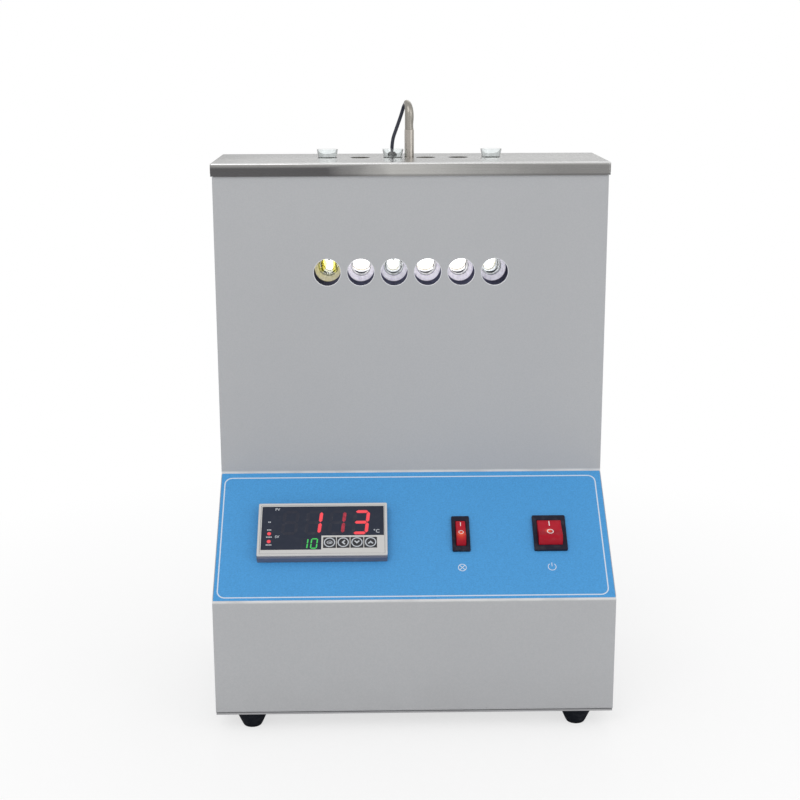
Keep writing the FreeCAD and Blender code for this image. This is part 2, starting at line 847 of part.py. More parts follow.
def stand_screws():
    """Four screws from below that hold the stand's feet on the bottom plate."""
    half = (stand_leg_spread - stand_foot) / 2
    middle = (block_front + block_back) / 2
    screws = []
    for sign in (-1, 1):
        for end in (-1, 1):
            seat = Vector(sign * half, middle + end * stand_screw_spread / 2, sheet_bottom + stand_wall)
            outline = [
                (0, 0), (screw_head_radius, 0), (screw_head_radius, screw_head_height * 0.5),
                (screw_head_radius * 0.7, screw_head_height), (0, screw_head_height),
            ]
            screws.append(turned(outline, seat))
    return all_of(screws)


def test_tube(place):
    """A glass tube with a flared rim, a round bottom and three dimples that hold its cup."""
    top = cover_top + rim_stand
    turn = tube_bottom + tube_radius
    inner = tube_radius - tube_wall
    diagonal = math.sqrt(0.5)
    floor = Vector(0, 0, tube_bottom)
    side = Vector(tube_radius, 0, turn)
    inner_floor = Vector(0, 0, tube_bottom + tube_wall)
    inner_side = Vector(inner, 0, turn)
    flare = Vector(tube_radius, 0, top - flare_height)
    inner_flare = Vector(inner, 0, top - flare_height)
    rim = Vector(rim_radius, 0, top)
    inner_rim = Vector(rim_radius - tube_wall, 0, top)
    bend = Vector(tube_radius * diagonal, 0, turn - tube_radius * diagonal)
    inner_bend = Vector(inner * diagonal, 0, turn - inner * diagonal)
    corners = [side, flare, rim, inner_rim, inner_flare, inner_side]
    outline = [Part.Arc(floor, bend, side).toShape()]
    outline += [Part.makeLine(a, b) for a, b in zip(corners, corners[1:])]
    outline += [Part.Arc(inner_side, inner_bend, inner_floor).toShape(), Part.makeLine(inner_floor, floor)]
    glass = Part.Face(Part.Wire(outline)).revolve(Vector(0, 0, 0), Vector(0, 0, 1), 360)
    core = rod(tube_radius - tube_wall / 2, Vector(0, 0, tube_bottom), Vector(0, 0, top))
    for index in range(3):
        glass = glass.fuse(dimple(index, dimple_radius, dimple_tip()).common(core))
    for index in range(3):
        glass = glass.cut(dimple(index, dimple_radius - tube_wall / 2, dimple_tip() + tube_wall))
    glass.translate(Vector(tube_x[place - 1], row_y, 0))
    return glass


def dimple_tip():
    """How far from the tube's axis the dimples' tips stand."""
    return tube_radius - tube_wall - dimple_reach


def dimple(index, radius, tip):
    """One of the three blunt cones that press the dimples into the tube's wall."""
    start = tube_radius + tube_wall
    cone = Part.makeCone(radius, radius * dimple_nose, start - tip, Vector(start, 0, 0), Vector(-1, 0, 0))
    cone.translate(Vector(0, 0, tube_bottom + dimple_height))
    cone.rotate(Vector(0, 0, 0), Vector(0, 0, 1), 90 + 120 * index)
    return cone


def cup_base(place):
    """The lowest point of a grease cup, where its nose lies on the dimples."""
    nose_slope = cup_nose_height / (cup_radius - cup_drip_radius)
    seat = tube_bottom + dimple_height + dimple_radius * dimple_nose + cup_seat_gap
    return Vector(tube_x[place - 1], row_y, seat - (dimple_tip() - cup_drip_radius) * nose_slope)


def grease_cup(place):
    """A plated cup with a coned nose and a drip hole."""
    inner = cup_radius - cup_wall
    outline = [
        (cup_drip_radius, 0), (cup_radius, cup_nose_height), (cup_radius, cup_height - 1.4),
        (cup_rim_radius, cup_height - 1.0), (cup_rim_radius, cup_height), (inner, cup_height),
        (inner, cup_nose_height + cup_wall), (cup_drip_radius, cup_wall * 1.6),
    ]
    return turned(outline, cup_base(place))


def probe_collar():
    """The steel sleeve that stands on the block and guides the probe."""
    inner = probe_bore_radius
    top = cover_top + collar_stand
    outline = [
        (inner, 0), (collar_radius, 0), (collar_radius, top - block_top - 0.4),
        (collar_radius - 0.4, top - block_top), (inner, top - block_top),
    ]
    return turned(outline, Vector(0, row_y, block_top))


def probe_sheath():
    """The probe: a straight sheath below, and a tapered, bent end that the lead leaves."""
    radius = probe_bore_radius - probe_clearance
    head = cover_top + collar_stand
    tip = block_top - probe_depth_below_block
    sheath = turned([(0, 0), (radius - 1, 0), (radius, 1), (radius, head - tip), (0, head - tip)],
                    Vector(0, row_y, tip))
    end = lead_point(0)
    rise = cover_top + probe_straight_height
    rings = (
        (Vector(0, row_y, head), Vector(0, 0, 1), probe_head_radius),
        (Vector(0, row_y, (head + rise) / 2), Vector(0, 0, 1), probe_head_radius),
        (Vector(0, row_y, rise), Vector(-0.04, 0.1, 1), probe_head_radius),
        (Vector(-0.5, row_y + 1.8, rise + 4.4), Vector(-0.12, 0.65, 0.9), 2.85),
        (Vector(-1.2, row_y + 5.0, rise + 6.4), Vector(-0.14, 1, 0.22), 2.35),
        (end, Vector(-0.14, 1, -0.09), 2.1),
    )
    wires = [Part.Wire(Part.makeCircle(size, centre, way)) for centre, way, size in rings]
    bent = Part.makeLoft(wires, True, False)
    return sheath.fuse(bent)


def lead_point(index):
    """A point of the lead's route, which is told from the probe's place on the cover."""
    return lead_route[index] + Vector(0, row_y, cover_top)


def probe_lead():
    """The probe's lead from its bent end down to the grommet in the cover."""
    points = [lead_point(index) for index in range(len(lead_route))]
    radii = []
    for before, corner, after in zip(points, points[1:], points[2:]):
        half_turn = (corner - before).getAngle(after - corner) / 2
        shorter = min((corner - before).Length, (after - corner).Length)
        radii.append(0.45 * shorter / math.tan(half_turn))
    path = Part.Wire(rounded_run(points, radii))
    section = Part.Wire(Part.makeCircle(lead_diameter / 2, points[0], points[1] - points[0]))
    lead = path.makePipeShell([section], True, False)
    expected = math.pi * lead_diameter ** 2 / 4 * path.Length
    print("lead radii", [round(radius, 1) for radius in radii], "length", round(path.Length, 1),
          "volume over section times length", round(lead.Volume / expected, 3))
    return lead


def lead_grommet():
    """The rubber grommet in the cover, where the lead goes back into the case."""
    end = lead_point(-1)
    outline = [
        (0, grommet_height), (grommet_radius * 0.55, grommet_height),
        (grommet_radius, grommet_height * 0.45), (grommet_radius, 0), (grommet_neck_radius, 0),
        (grommet_neck_radius, -cover_wall), (grommet_radius, -cover_wall),
        (grommet_radius * 0.8, -cover_wall - 2), (0, -cover_wall - 2),
    ]
    return turned(outline, Vector(end.x, end.y, cover_top))


def meter_case():
    """The meter's housing: a bezel on the console and a deep body behind it."""
    bezel_height = meter_stand - faceplate_wall
    bezel = upright(meter_width, meter_height, bezel_edge, film_wall, bezel_height)
    deep = meter_body_depth + film_wall
    body = centred(meter_body_width, meter_body_height, deep, (0, 0), -meter_body_depth)
    pocket = centred(meter_width - 2 * pocket_border, meter_height - 2 * pocket_border,
                     meter_stand, (0, 0), pocket_floor)
    case = bezel.fuse(body).cut(pocket)
    case.translate(Vector(meter_x, meter_up, 0))
    return on_console(case)


def window_outline(grow):
    """The window's stepped outline on the faceplate, grown by a gap."""
    left, right = window_left - grow, window_right + grow
    top, bottom = window_top + grow, window_bottom - grow
    middle, split = window_middle - grow, window_split + grow
    return [(left, bottom), (split, bottom), (split, middle), (right, middle), (right, top), (left, top)]


def meter_faceplate():
    """The light face of the meter, with a raised rim, the window and the key openings."""
    low = meter_stand - faceplate_wall
    height = meter_height - faceplate_setback
    middle = (0, faceplate_setback / 2)
    plate = upright(meter_width, height, bezel_edge, low, meter_stand, middle)
    inner = upright(meter_width - 2 * faceplate_rim, height - 2 * faceplate_rim, bezel_edge / 2,
                    meter_stand - faceplate_step, meter_stand + 1, middle)
    cutters = [inner, slab(window_outline(fit_gap), low - 1, meter_stand + 1)]
    for index in range(len(key_names)):
        size = key_size + 2 * key_gap
        cutters.append(centred(size, size, meter_stand, (key_first + index * key_pitch, key_up), low - 1))
    plate = plate.cut(cutters)
    plate.translate(Vector(meter_x, meter_up, 0))
    return on_console(plate)


def meter_window():
    """The dark window that the digits shine through."""
    top = meter_stand - faceplate_step
    window = slab(window_outline(0), top - window_wall, top)
    window.translate(Vector(meter_x, meter_up, 0))
    return on_console(window)


def display_board():
    """The board behind the window, with its digit blocks and key switches."""
    top = pocket_floor + board_wall
    width = meter_width - 2 * (pocket_border + board_margin)
    height = meter_height - 2 * (pocket_border + board_margin)
    board = centred(width, height, board_wall, (0, 0), pocket_floor)
    underside = meter_stand - faceplate_step - window_wall - digit_gap
    height = (top, underside)
    left, right, low, high = digit_margins
    across = (window_left + left, window_right - right)
    digits = cuboid(across, (window_middle + low, window_top - high), height)
    left, right, low, high = small_digit_margins
    small_digits = cuboid((window_left + left, window_split - right),
                          (window_bottom + low, window_middle - high), height)
    board = board.fuse([digits, small_digits])
    board.translate(Vector(meter_x, meter_up, 0))
    return on_console(board)


def meter_key(index):
    """One key of the meter, a square cap on a stem over the board."""
    centre = (key_first + index * key_pitch, key_up)
    face = meter_stand - faceplate_step + key_stand
    low = pocket_floor + board_wall + key_travel + 0.1
    cap = upright(key_size, key_size, key_corner, low + key_stem, face, centre)
    stem = centred(key_size / 2, key_size / 2, key_stem, centre, low)
    key = cap.fuse(stem)
    key.translate(Vector(meter_x, meter_up, 0))
    return on_console(key)


def meter_clamps():
    """Two clamps that pull the bezel onto the console from behind."""
    clamps = []
    for sign in (-1, 1):
        middle = sign * (meter_body_height + clamp_height) / 2
        foot_end = -case_wall
        clamp = centred(clamp_width, clamp_height, clamp_length, (0, middle), foot_end - clamp_length)
        relief = centred(clamp_width / 2, clamp_height / 2, clamp_length * 0.7,
                         (0, middle + sign * clamp_height / 4), foot_end - clamp_length * 0.85)
        clamp = clamp.cut(relief)
        clamp.translate(Vector(meter_x, meter_up, 0))
        clamps.append(on_console(clamp))
    return all_of(clamps)


def switch_body_width(width):
    """The width of a switch's body for its bezel's width."""
    return width - 2 * switch_body_margin


def switch_well(opening):
    """The hollow that a rocker swings in: a drum about its pivot, cut off by a floor."""
    swing = rocker_sweep + rocker_gap
    corner = math.asin(rocker_below / rocker_sweep) + math.radians(rocker_tilt)
    floor = -rocker_pivot_depth - rocker_sweep * math.sin(corner) - rocker_gap
    half = opening / 2
    drum = rod(swing, Vector(-half, 0, -rocker_pivot_depth), Vector(half, 0, -rocker_pivot_depth))
    return drum.common(cuboid((-opening, opening), (-2 * swing, 2 * swing), (floor, 2 * swing)))


def switch_frame(x, width, rocker_width):
    """A switch housing: bezel, body, the rocker's well, its two bearings and the blades."""
    opening = rocker_width + 2 * rocker_gap
    bezel = upright(width, switch_height, switch_corner, film_wall, bezel_top)
    body = centred(switch_body_width(width), switch_body_height, switch_body_depth + film_wall,
                   (0, 0), -switch_body_depth)
    reach = opening / 2 + trunnion_length
    bearing = rod(trunnion_radius + trunnion_clearance, Vector(-reach, 0, -rocker_pivot_depth),
                  Vector(reach, 0, -rocker_pivot_depth))
    frame = bezel.fuse(body).cut([switch_well(opening), bearing])
    rows = (-blade_spread, blade_spread) if width > switch_height / 2 else (0,)
    for across in rows:
        for along in (-blade_spread, blade_spread):
            blade = cuboid((across - blade_width / 2, across + blade_width / 2),
                           (along - blade_wall / 2, along + blade_wall / 2),
                           (-switch_body_depth - blade_length, -switch_body_depth + blade_wall))
            frame = frame.fuse(blade)
    frame.translate(Vector(x, switch_up, 0))
    return on_console(frame)


def switch_rocker(x, rocker_width):
    """A drum-sided rocker with two shallow facets, tilted so that its upper end is pressed in."""
    rise = 2 * rocker_sweep * math.tan(math.radians(rocker_facet))
    reach = 2 * rocker_sweep
    half = rocker_width / 2
    low = -rocker_pivot_depth - rocker_below
    section = [Vector(-half, -reach, low), Vector(-half, reach, low),
               Vector(-half, reach, rocker_middle + rise), Vector(-half, 0, rocker_middle),
               Vector(-half, -reach, rocker_middle + rise)]
    wedge = Part.Face(Part.makePolygon(section + section[:1])).extrude(Vector(rocker_width, 0, 0))
    drum = rod(rocker_sweep, Vector(-half, 0, -rocker_pivot_depth), Vector(half, 0, -rocker_pivot_depth))
    trunnion = half + trunnion_length
    axle = rod(trunnion_radius, Vector(-trunnion, 0, -rocker_pivot_depth),
               Vector(trunnion, 0, -rocker_pivot_depth))
    rocker = drum.common(wedge).fuse(axle)
    rocker.rotate(Vector(0, 0, -rocker_pivot_depth), Vector(1, 0, 0), -rocker_tilt)
    rocker.translate(Vector(x, switch_up, 0))
    return on_console(rocker)


def inlet_z():
    """The height of the inlet's middle."""
    return foot_height + inlet_rise


def socket_outline(grow):
    """The mains socket's six-sided mouth, grown by a wall, about its own middle."""
    x, z = socket_width / 2 + grow, socket_height / 2 + grow
    cut = socket_corner
    return [(-x, -z), (x, -z), (x, z - cut), (x - cut, z), (-x + cut, z), (-x, z - cut)]


def power_inlet():
    """The mains inlet: flange with two screw holes, body, socket and drawer well."""
    z = inlet_z()
    flange = upright(inlet_width, inlet_height, inlet_corner, 0, inlet_flange)
    flange.rotate(Vector(0, 0, 0), Vector(1, 0, 0), -90)
    flange.translate(Vector(inlet_x, back_y, z))
    body = cuboid((inlet_x - inlet_body_width / 2, inlet_x + inlet_body_width / 2),
                  (back_y - inlet_body_depth, back_y + inlet_flange / 2),
                  (z - inlet_body_height / 2, z + inlet_body_height / 2))
    mouth_y = back_y + inlet_flange
    mouth = [Vector(inlet_x + x, mouth_y + 1, z + socket_rise + rise) for x, rise in socket_outline(0)]
    socket = Part.Face(Part.makePolygon(mouth + mouth[:1])).extrude(Vector(0, -socket_depth - 1, 0))
    drawer_z = z - drawer_drop
    well = cuboid((inlet_x - drawer_width / 2 - fit_gap, inlet_x + drawer_width / 2 + fit_gap),
                  (mouth_y - drawer_length - fit_gap, mouth_y + 1),
                  (drawer_z - drawer_height / 2 - fit_gap, drawer_z + drawer_height / 2 + fit_gap))
    cutters = [socket, well]
    for seat in inlet_screw_seats():
        inner = seat - Vector(0, 4 * inlet_flange, 0)
        cutters.append(rod(screw_hole_radius, seat + Vector(0, 1, 0), inner))
    return flange.fuse(body).cut(cutters)


def inlet_screw_seats():
    """Where the inlet's two screws seat, on its flange."""
    return [Vector(inlet_x + sign * inlet_screw_spread / 2, back_y + inlet_flange, inlet_z())
            for sign in (-1, 1)]


def inlet_pins():
    """The three flat pins in the socket."""
    back = back_y + inlet_flange - socket_depth
    pins = []
    for x, rise in ((-pin_spread, -pin_offset), (0, pin_offset), (pin_spread, -pin_offset)):
        z = inlet_z() + socket_rise + rise
        width = (inlet_x + x - pin_wall / 2, inlet_x + x + pin_wall / 2)
        pins.append(cuboid(width, (back, back + pin_length), (z - pin_width / 2, z + pin_width / 2)))
    return all_of(pins)


def fuse_drawer():
    """The drawer under the socket, a small tray with a face."""
    z = inlet_z() - drawer_drop
    face_y = back_y + inlet_flange + drawer_stand
    back = back_y + inlet_flange - drawer_length
    tray = cuboid((inlet_x - drawer_width / 2, inlet_x + drawer_width / 2), (back, face_y),
                  (z - drawer_height / 2, z + drawer_height / 2))
    inner = fuse_length / 2 + fit_gap
    hollow = cuboid((inlet_x - inner, inlet_x + inner), (back + drawer_wall, face_y - 4 * drawer_wall),
                    (z - drawer_height / 2 + drawer_wall, z + drawer_height))
    half = drawer_notch_width / 2
    notch = cuboid((inlet_x - half, inlet_x + half), (face_y - drawer_notch_depth, face_y + 1),
                   (z + drawer_height / 2 - drawer_notch_height, z + drawer_height))
    return tray.cut([hollow, notch])


def fuses():
    """The fuse in use and the spare one, lying across the drawer."""
    z = inlet_z() - drawer_drop - drawer_height / 2 + drawer_wall + fuse_radius
    back = back_y + inlet_flange - drawer_length + drawer_wall + fit_gap + fuse_radius
    pieces = []
    for y in (back, back + 2 * fuse_radius + 2):
        pieces.append(rod(fuse_radius, Vector(inlet_x - fuse_length / 2, y, z),
                          Vector(inlet_x + fuse_length / 2, y, z)))
    return all_of(pieces)


def on_floor(size, place):
    """A box of a size at a place on the bottom plate."""
    return centred(size[0], size[1], size[2], (place[0], front_y + place[1]), sheet_bottom)


def solid_state_relay():
    """The relay that switches the heaters, with its four terminals' recesses."""
    body = on_floor(relay_size, relay_place)
    x, y = relay_place[0], front_y + relay_place[1]
    top = sheet_bottom + relay_size[2]
    recess = relay_recess
    side = recess + 2 * fit_gap
    cutters = []
    for sx in (-1, 1):
        for sy in (-1, 1):
            corner = (x + sx * (relay_size[0] / 2 - recess / 2), y + sy * (relay_size[1] / 2 - recess / 2))
            cutters.append(centred(side, side, recess, corner, top - relay_recess_depth))
    return body.cut(cutters)


def lamp_supply():
    """The supply of the lamps, a small closed box with end tabs."""
    body = on_floor(supply_size, supply_place)
    across = supply_size[0] + 2 * supply_tab_reach
    tabs = on_floor((across, supply_tab_width, supply_tab_wall), supply_place)
    return body.fuse(tabs)


def terminal_block():
    """A barrier strip with walls between its ways."""
    width, depth, height = terminal_size
    base = on_floor((width, depth, terminal_base_height), terminal_place)
    pitch = (width - 2 * terminal_end_margin) / terminal_ways
    walls = [on_floor((terminal_wall, depth, height), (terminal_place[0] + (i - terminal_ways / 2) * pitch,
                                             terminal_place[1])) for i in range(terminal_ways + 1)]
    return base.fuse(walls).removeSplitter()


def build():
    """Every node by name."""
    sides = {side: side_panel(sign) for side, sign in (("left", -1), ("right", 1))}
    nodes = {f"side_panel_{side}": shape for side, shape in sides.items()}
    nodes["front_panel"] = front_panel(list(sides.values()))
    nodes["console_overlay"] = console_overlay()
    nodes["rear_panel"] = rear_panel()
    nodes["rear_panel_screws"] = rear_panel_screws()
    nodes["bottom_plate"] = bottom_plate()
    nodes["top_cover"] = top_cover()
    for name, place in foot_places().items():
        nodes[name] = foot(place)
    nodes["foot_screws"] = foot_screws()
    nodes["heating_block"] = heating_block()
    nodes["sight_sleeves"] = sight_sleeves()
    nodes["front_board"] = front_board()
    nodes["oven_screws"] = oven_screws()
    nodes["insulation_rear"] = insulation_rear()
    nodes["insulation_top"] = insulation_top()
    nodes["insulation_bottom"] = insulation_bottom()
    nodes["insulation_left"] = insulation_side(-1)
    nodes["insulation_right"] = insulation_side(1)
    nodes["thermal_cutout"] = thermal_cutout()
    nodes["cartridge_heaters"] = cartridge_heaters()
    nodes["light_box"] = light_box()
    nodes["light_diffuser"] = light_diffuser()
    nodes["led_board"] = led_board()
    nodes["led_chips"] = led_chips()
    nodes["oven_stand"] = oven_stand()
    nodes["stand_screws"] = stand_screws()
    for place in filled_places:
        nodes[f"test_tube_{place}"] = test_tube(place)
        nodes[f"grease_cup_{place}"] = grease_cup(place)
    nodes["probe_collar"] = probe_collar()
    nodes["probe_sheath"] = probe_sheath()
    nodes["probe_lead"] = probe_lead()
    nodes["lead_grommet"] = lead_grommet()
    nodes["meter_case"] = meter_case()
    nodes["meter_faceplate"] = meter_faceplate()
    nodes["meter_window"] = meter_window()
    nodes["display_board"] = display_board()
    nodes["meter_clamps"] = meter_clamps()
    for index, name in enumerate(key_names):
        nodes[name] = meter_key(index)
    nodes["power_switch_frame"] = switch_frame(power_switch_x, power_switch_width, power_rocker_width)
    nodes["power_switch_rocker"] = switch_rocker(power_switch_x, power_rocker_width)
    nodes["light_switch_frame"] = switch_frame(light_switch_x, light_switch_width, light_rocker_width)
    nodes["light_switch_rocker"] = switch_rocker(light_switch_x, light_rocker_width)
    nodes["power_inlet"] = power_inlet()
    nodes["inlet_pins"] = inlet_pins()
    nodes["fuse_drawer"] = fuse_drawer()
    nodes["fuses"] = fuses()
    nodes["solid_state_relay"] = solid_state_relay()
    nodes["lamp_supply"] = lamp_supply()
    nodes["terminal_block"] = terminal_block()
    return nodes


os.makedirs("parts", exist_ok=True)
for name, shape in build().items():
    shape.exportStep(f"parts/{name}.step")
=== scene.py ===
"""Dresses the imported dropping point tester: fine pieces, finishes, studio and camera.

Every size is in millimetres and every place is in the part's own frame. A matrix turns
both into metres when a piece is made. Only the shader effects count in metres.
"""

import json
import logging
import math
from dataclasses import dataclass, field
from enum import Enum
from typing import Callable, Sequence

import bmesh
import bpy
from mathutils import Matrix, Vector

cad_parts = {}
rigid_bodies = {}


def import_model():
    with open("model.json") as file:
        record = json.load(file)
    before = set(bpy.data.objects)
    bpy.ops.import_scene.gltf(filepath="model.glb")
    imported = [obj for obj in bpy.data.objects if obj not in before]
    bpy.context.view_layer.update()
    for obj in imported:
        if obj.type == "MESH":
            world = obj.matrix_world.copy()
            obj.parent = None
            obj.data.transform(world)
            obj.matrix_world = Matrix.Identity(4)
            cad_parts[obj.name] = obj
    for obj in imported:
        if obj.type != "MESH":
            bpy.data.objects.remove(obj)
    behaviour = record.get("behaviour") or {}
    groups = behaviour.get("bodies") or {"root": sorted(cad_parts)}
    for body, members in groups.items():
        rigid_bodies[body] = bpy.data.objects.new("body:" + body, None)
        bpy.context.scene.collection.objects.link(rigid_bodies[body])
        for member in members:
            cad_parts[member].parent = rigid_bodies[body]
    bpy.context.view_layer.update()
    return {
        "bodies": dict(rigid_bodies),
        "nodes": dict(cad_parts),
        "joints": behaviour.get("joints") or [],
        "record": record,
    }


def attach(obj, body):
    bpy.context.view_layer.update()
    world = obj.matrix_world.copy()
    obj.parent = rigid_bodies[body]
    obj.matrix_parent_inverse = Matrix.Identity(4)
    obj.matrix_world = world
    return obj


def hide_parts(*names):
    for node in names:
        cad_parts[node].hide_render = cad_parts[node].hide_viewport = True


log = logging.getLogger("tester")

# Places and sizes that several classes share, in millimetres.
MM = 0.001
FRONT_Y = -92.15
TOWER_Y = -0.85
BACK_Y = 89.15
ROW_Y = 47.15
COVER_TOP = 407.2
SIGHT_Z = 326.0
TUBE_BOTTOM = 312.5
TUBE_PITCH = 25.0
TUBE_PLACES = 6
FILLED_PLACES = (1, 3, 6)
CONSOLE_LOW = 101.4
CONSOLE_RUN = 91.3
CONSOLE_RISE = 69.5
CONSOLE_ANGLE = math.atan2(CONSOLE_RISE, CONSOLE_RUN)
CONSOLE_LENGTH = math.hypot(CONSOLE_RUN, CONSOLE_RISE)

ROOM = Matrix.Scale(MM, 4)
CONSOLE = ROOM @ Matrix.Translation((0.0, FRONT_Y, CONSOLE_LOW)) @ Matrix.Rotation(CONSOLE_ANGLE, 4, "X")

WHITE = (1.0, 1.0, 1.0, 1.0)
BLACK = (0.0, 0.0, 0.0, 1.0)

Point = tuple[float, float]
Spot = tuple[float, float, float]
Screen = tuple[int, int, int]
Socket = bpy.types.NodeSocket
Tree = bpy.types.NodeTree
Piece = bpy.types.Object


def tube_x(place: int) -> float:
    """The X of a tube place, counted from 1 at the left."""
    return TUBE_PITCH * (place - (TUBE_PLACES + 1) / 2)


def linear(color: Sequence[int]) -> tuple[float, float, float, float]:
    """Turns a colour as seen on a screen into the renderer's own numbers.

    Args:
        color: red, green and blue from 0 to 255.

    Returns:
        The linear red, green, blue and an alpha of 1.
    """
    parts = [part / 255 for part in color]
    curved = [part / 12.92 if part < 0.04045 else ((part + 0.055) / 1.055) ** 2.4 for part in parts]
    return (curved[0], curved[1], curved[2], 1.0)


def dimmed(color: Sequence[int], share: float) -> tuple[float, float, float, float]:
    """A screen colour in the renderer's own numbers, with that share of its light."""
    red, green, blue, alpha = linear(color)
    return (red * share, green * share, blue * share, alpha)


def added(name: str, data: bpy.types.ID) -> Piece:
    """Makes an object of some data and puts it into the scene.

    Args:
        name: the object's name.
        data: its mesh, curve, camera or lamp.

    Returns:
        The object.
    """
    item = bpy.data.objects.new(name, data)
    bpy.context.scene.collection.objects.link(item)
    return item


class Nodes:
    """Adds nodes to one tree and joins their sockets."""

    def __init__(self, tree: Tree) -> None:
        """Takes the tree and empties it.

        Args:
            tree: the tree to fill.
        """
        self.tree = tree
        tree.nodes.clear()

    def add(self, kind: str, inputs: dict | None = None, **settings: object) -> bpy.types.Node:
        """Adds one node.

        Args:
            kind: the node's type name.
            inputs: socket name or number to a value, or to a socket to join.
            settings: the node's own properties.

        Returns:
            The new node.
        """
        node = self.tree.nodes.new(kind)
        for name, value in settings.items():
            setattr(node, name, value)
        self.feed(node, inputs or {})
        return node

    def feed(self, node: bpy.types.Node, inputs: dict) -> None:
        """Sets some of a node's inputs.

        Args:
            node: the node.
            inputs: socket name or number to a value, or to a socket to join.
        """
        for key, value in inputs.items():
            if isinstance(value, Socket):
                self.tree.links.new(value, node.inputs[key])
            else:
                node.inputs[key].default_value = value

    def place(self) -> Socket:
        """The piece's own coordinates, which are metres in the part's frame."""
        return self.add("ShaderNodeTexCoord").outputs["Object"]

    def axes(self, vector: Socket) -> list[Socket]:
        """A vector's X, Y and Z."""
        return list(self.add("ShaderNodeSeparateXYZ", {0: vector}).outputs)

    def upward(self) -> Socket:
        """How much the surface faces up, from -1 to 1."""
        return self.axes(self.add("ShaderNodeNewGeometry").outputs["Normal"])[2]

    def stretched(self, vector: Socket, scale: Sequence[float]) -> Socket:
        """A vector with each axis scaled by itself."""
        return self.add("ShaderNodeMapping", {"Vector": vector, "Scale": scale}).outputs[0]

    def noise(self, vector: Socket, scale: float, detail: float = 2.0) -> Socket:
        """A soft random value from 0 to 1, about 1/scale metres from spot to spot."""
        inputs = {"Vector": vector, "Scale": scale, "Detail": detail}
        return self.add("ShaderNodeTexNoise", inputs).outputs["Fac"]

    def maths(self, operation: str, first: object, second: object = 0.0) -> Socket:
        """One sum on one or two values."""
        return self.add("ShaderNodeMath", {0: first, 1: second}, operation=operation).outputs[0]

    def times(self, first: object, second: object) -> Socket:
        """The product of two values."""
        return self.maths("MULTIPLY", first, second)

    def vector(self, operation: str, first: object, second: object = (0.0, 0.0, 0.0)) -> Socket:
        """One sum on one or two vectors, which gives a vector or, for a length, a value."""
        outputs = self.add("ShaderNodeVectorMath", {0: first, 1: second}, operation=operation).outputs
        return outputs["Value"] if operation in ("DISTANCE", "DOT_PRODUCT", "LENGTH") else outputs[0]

    def span(self, value: Socket, old: Point, new: Point = (0.0, 1.0)) -> Socket:
        """Moves a value from one range to another and holds it there.

        Args:
            value: the socket to read.
            old: the range that it comes in.
            new: the range that it goes out in.

        Returns:
            The moved value.
        """
        numbers = {"Value": value, "From Min": old[0], "From Max": old[1], "To Min": new[0], "To Max": new[1]}
        return self.add("ShaderNodeMapRange", numbers, clamp=True).outputs[0]

    def mix(self, factor: object, first: object, second: object, blend: str = "MIX") -> Socket:
        """Mixes two colours.

        Args:
            factor: 0 for the first, 1 for the second.
            first: a colour or a socket.
            second: a colour or a socket.
            blend: how the second is laid on the first.

        Returns:
            The mixed colour.
        """
        inputs = {0: factor, 6: first, 7: second}
        return self.add("ShaderNodeMix", inputs, data_type="RGBA", blend_type=blend).outputs[2]

    def bump(self, height: Socket, depth: object, strength: float = 1.0) -> Socket:
        """A normal from a height, whose full range stands for a depth in metres."""
        inputs = {"Height": height, "Distance": depth, "Strength": strength}
        return self.add("ShaderNodeBump", inputs).outputs[0]

    def effect(self, tree: Tree, inputs: dict) -> bpy.types.Node:
        """Places a shared effect in this tree, with its values here."""
        return self.add("ShaderNodeGroup", inputs, node_tree=tree)


def shared_effect(name: str, inputs: dict[str, object],
                  fill: Callable[[Nodes, dict[str, Socket]], dict[str, Socket]]) -> Tree:
    """Builds a shader node group once and hands it out after that.

    Args:
        name: the group's name.
        inputs: input name to its default, a number or a colour.
        fill: builds the inside and returns output name to socket.

    Returns:
        The group's tree.
    """
    tree = bpy.data.node_groups.get(name)
    if tree:
        return tree
    tree = bpy.data.node_groups.new(name, "ShaderNodeTree")
    nodes = Nodes(tree)
    for key, value in inputs.items():
        kind = "NodeSocketFloat" if isinstance(value, (int, float)) else "NodeSocketColor"
        socket = tree.interface.new_socket(key, in_out="INPUT", socket_type=kind)
        socket.default_value = value
    entry = nodes.add("NodeGroupInput")
    results = fill(nodes, {key: entry.outputs[key] for key in inputs})
    kinds = {"Color": "NodeSocketColor", "Normal": "NodeSocketVector"}
    for key in results:
        tree.interface.new_socket(key, in_out="OUTPUT", socket_type=kinds.get(key, "NodeSocketFloat"))
    leave = nodes.add("NodeGroupOutput")
    for key, socket in results.items():
        tree.links.new(socket, leave.inputs[key])
    return tree


def bend_highlight_mask(nodes: Nodes, place: Socket) -> Socket:
    """A value of 1 along the two bends of the sloping console, where a highlight is painted.

    Args:
        nodes: the tree to build in.
        place: the piece's own coordinates.

    Returns:
        The mask, broken up a little along the bends.
    """
    width = (0.0008, 0.0019)
    bends = ((FRONT_Y + 0.4, CONSOLE_LOW), (TOWER_Y, CONSOLE_LOW + CONSOLE_RISE))
    section = nodes.vector("MULTIPLY", place, (0.0, 1.0, 1.0))
    masks = []
    for y, z in bends:
        away = nodes.vector("DISTANCE", section, (0.0, y * MM, z * MM))
        masks.append(nodes.span(away, width, (1.0, 0.0)))
    patches = nodes.noise(nodes.stretched(place, (0.3, 1.0, 1.0)), 120.0, 3.0)
    broken = nodes.span(patches, (0.25, 0.55), (0.35, 1.0))
    return nodes.times(nodes.maths("MAXIMUM", *masks), broken)


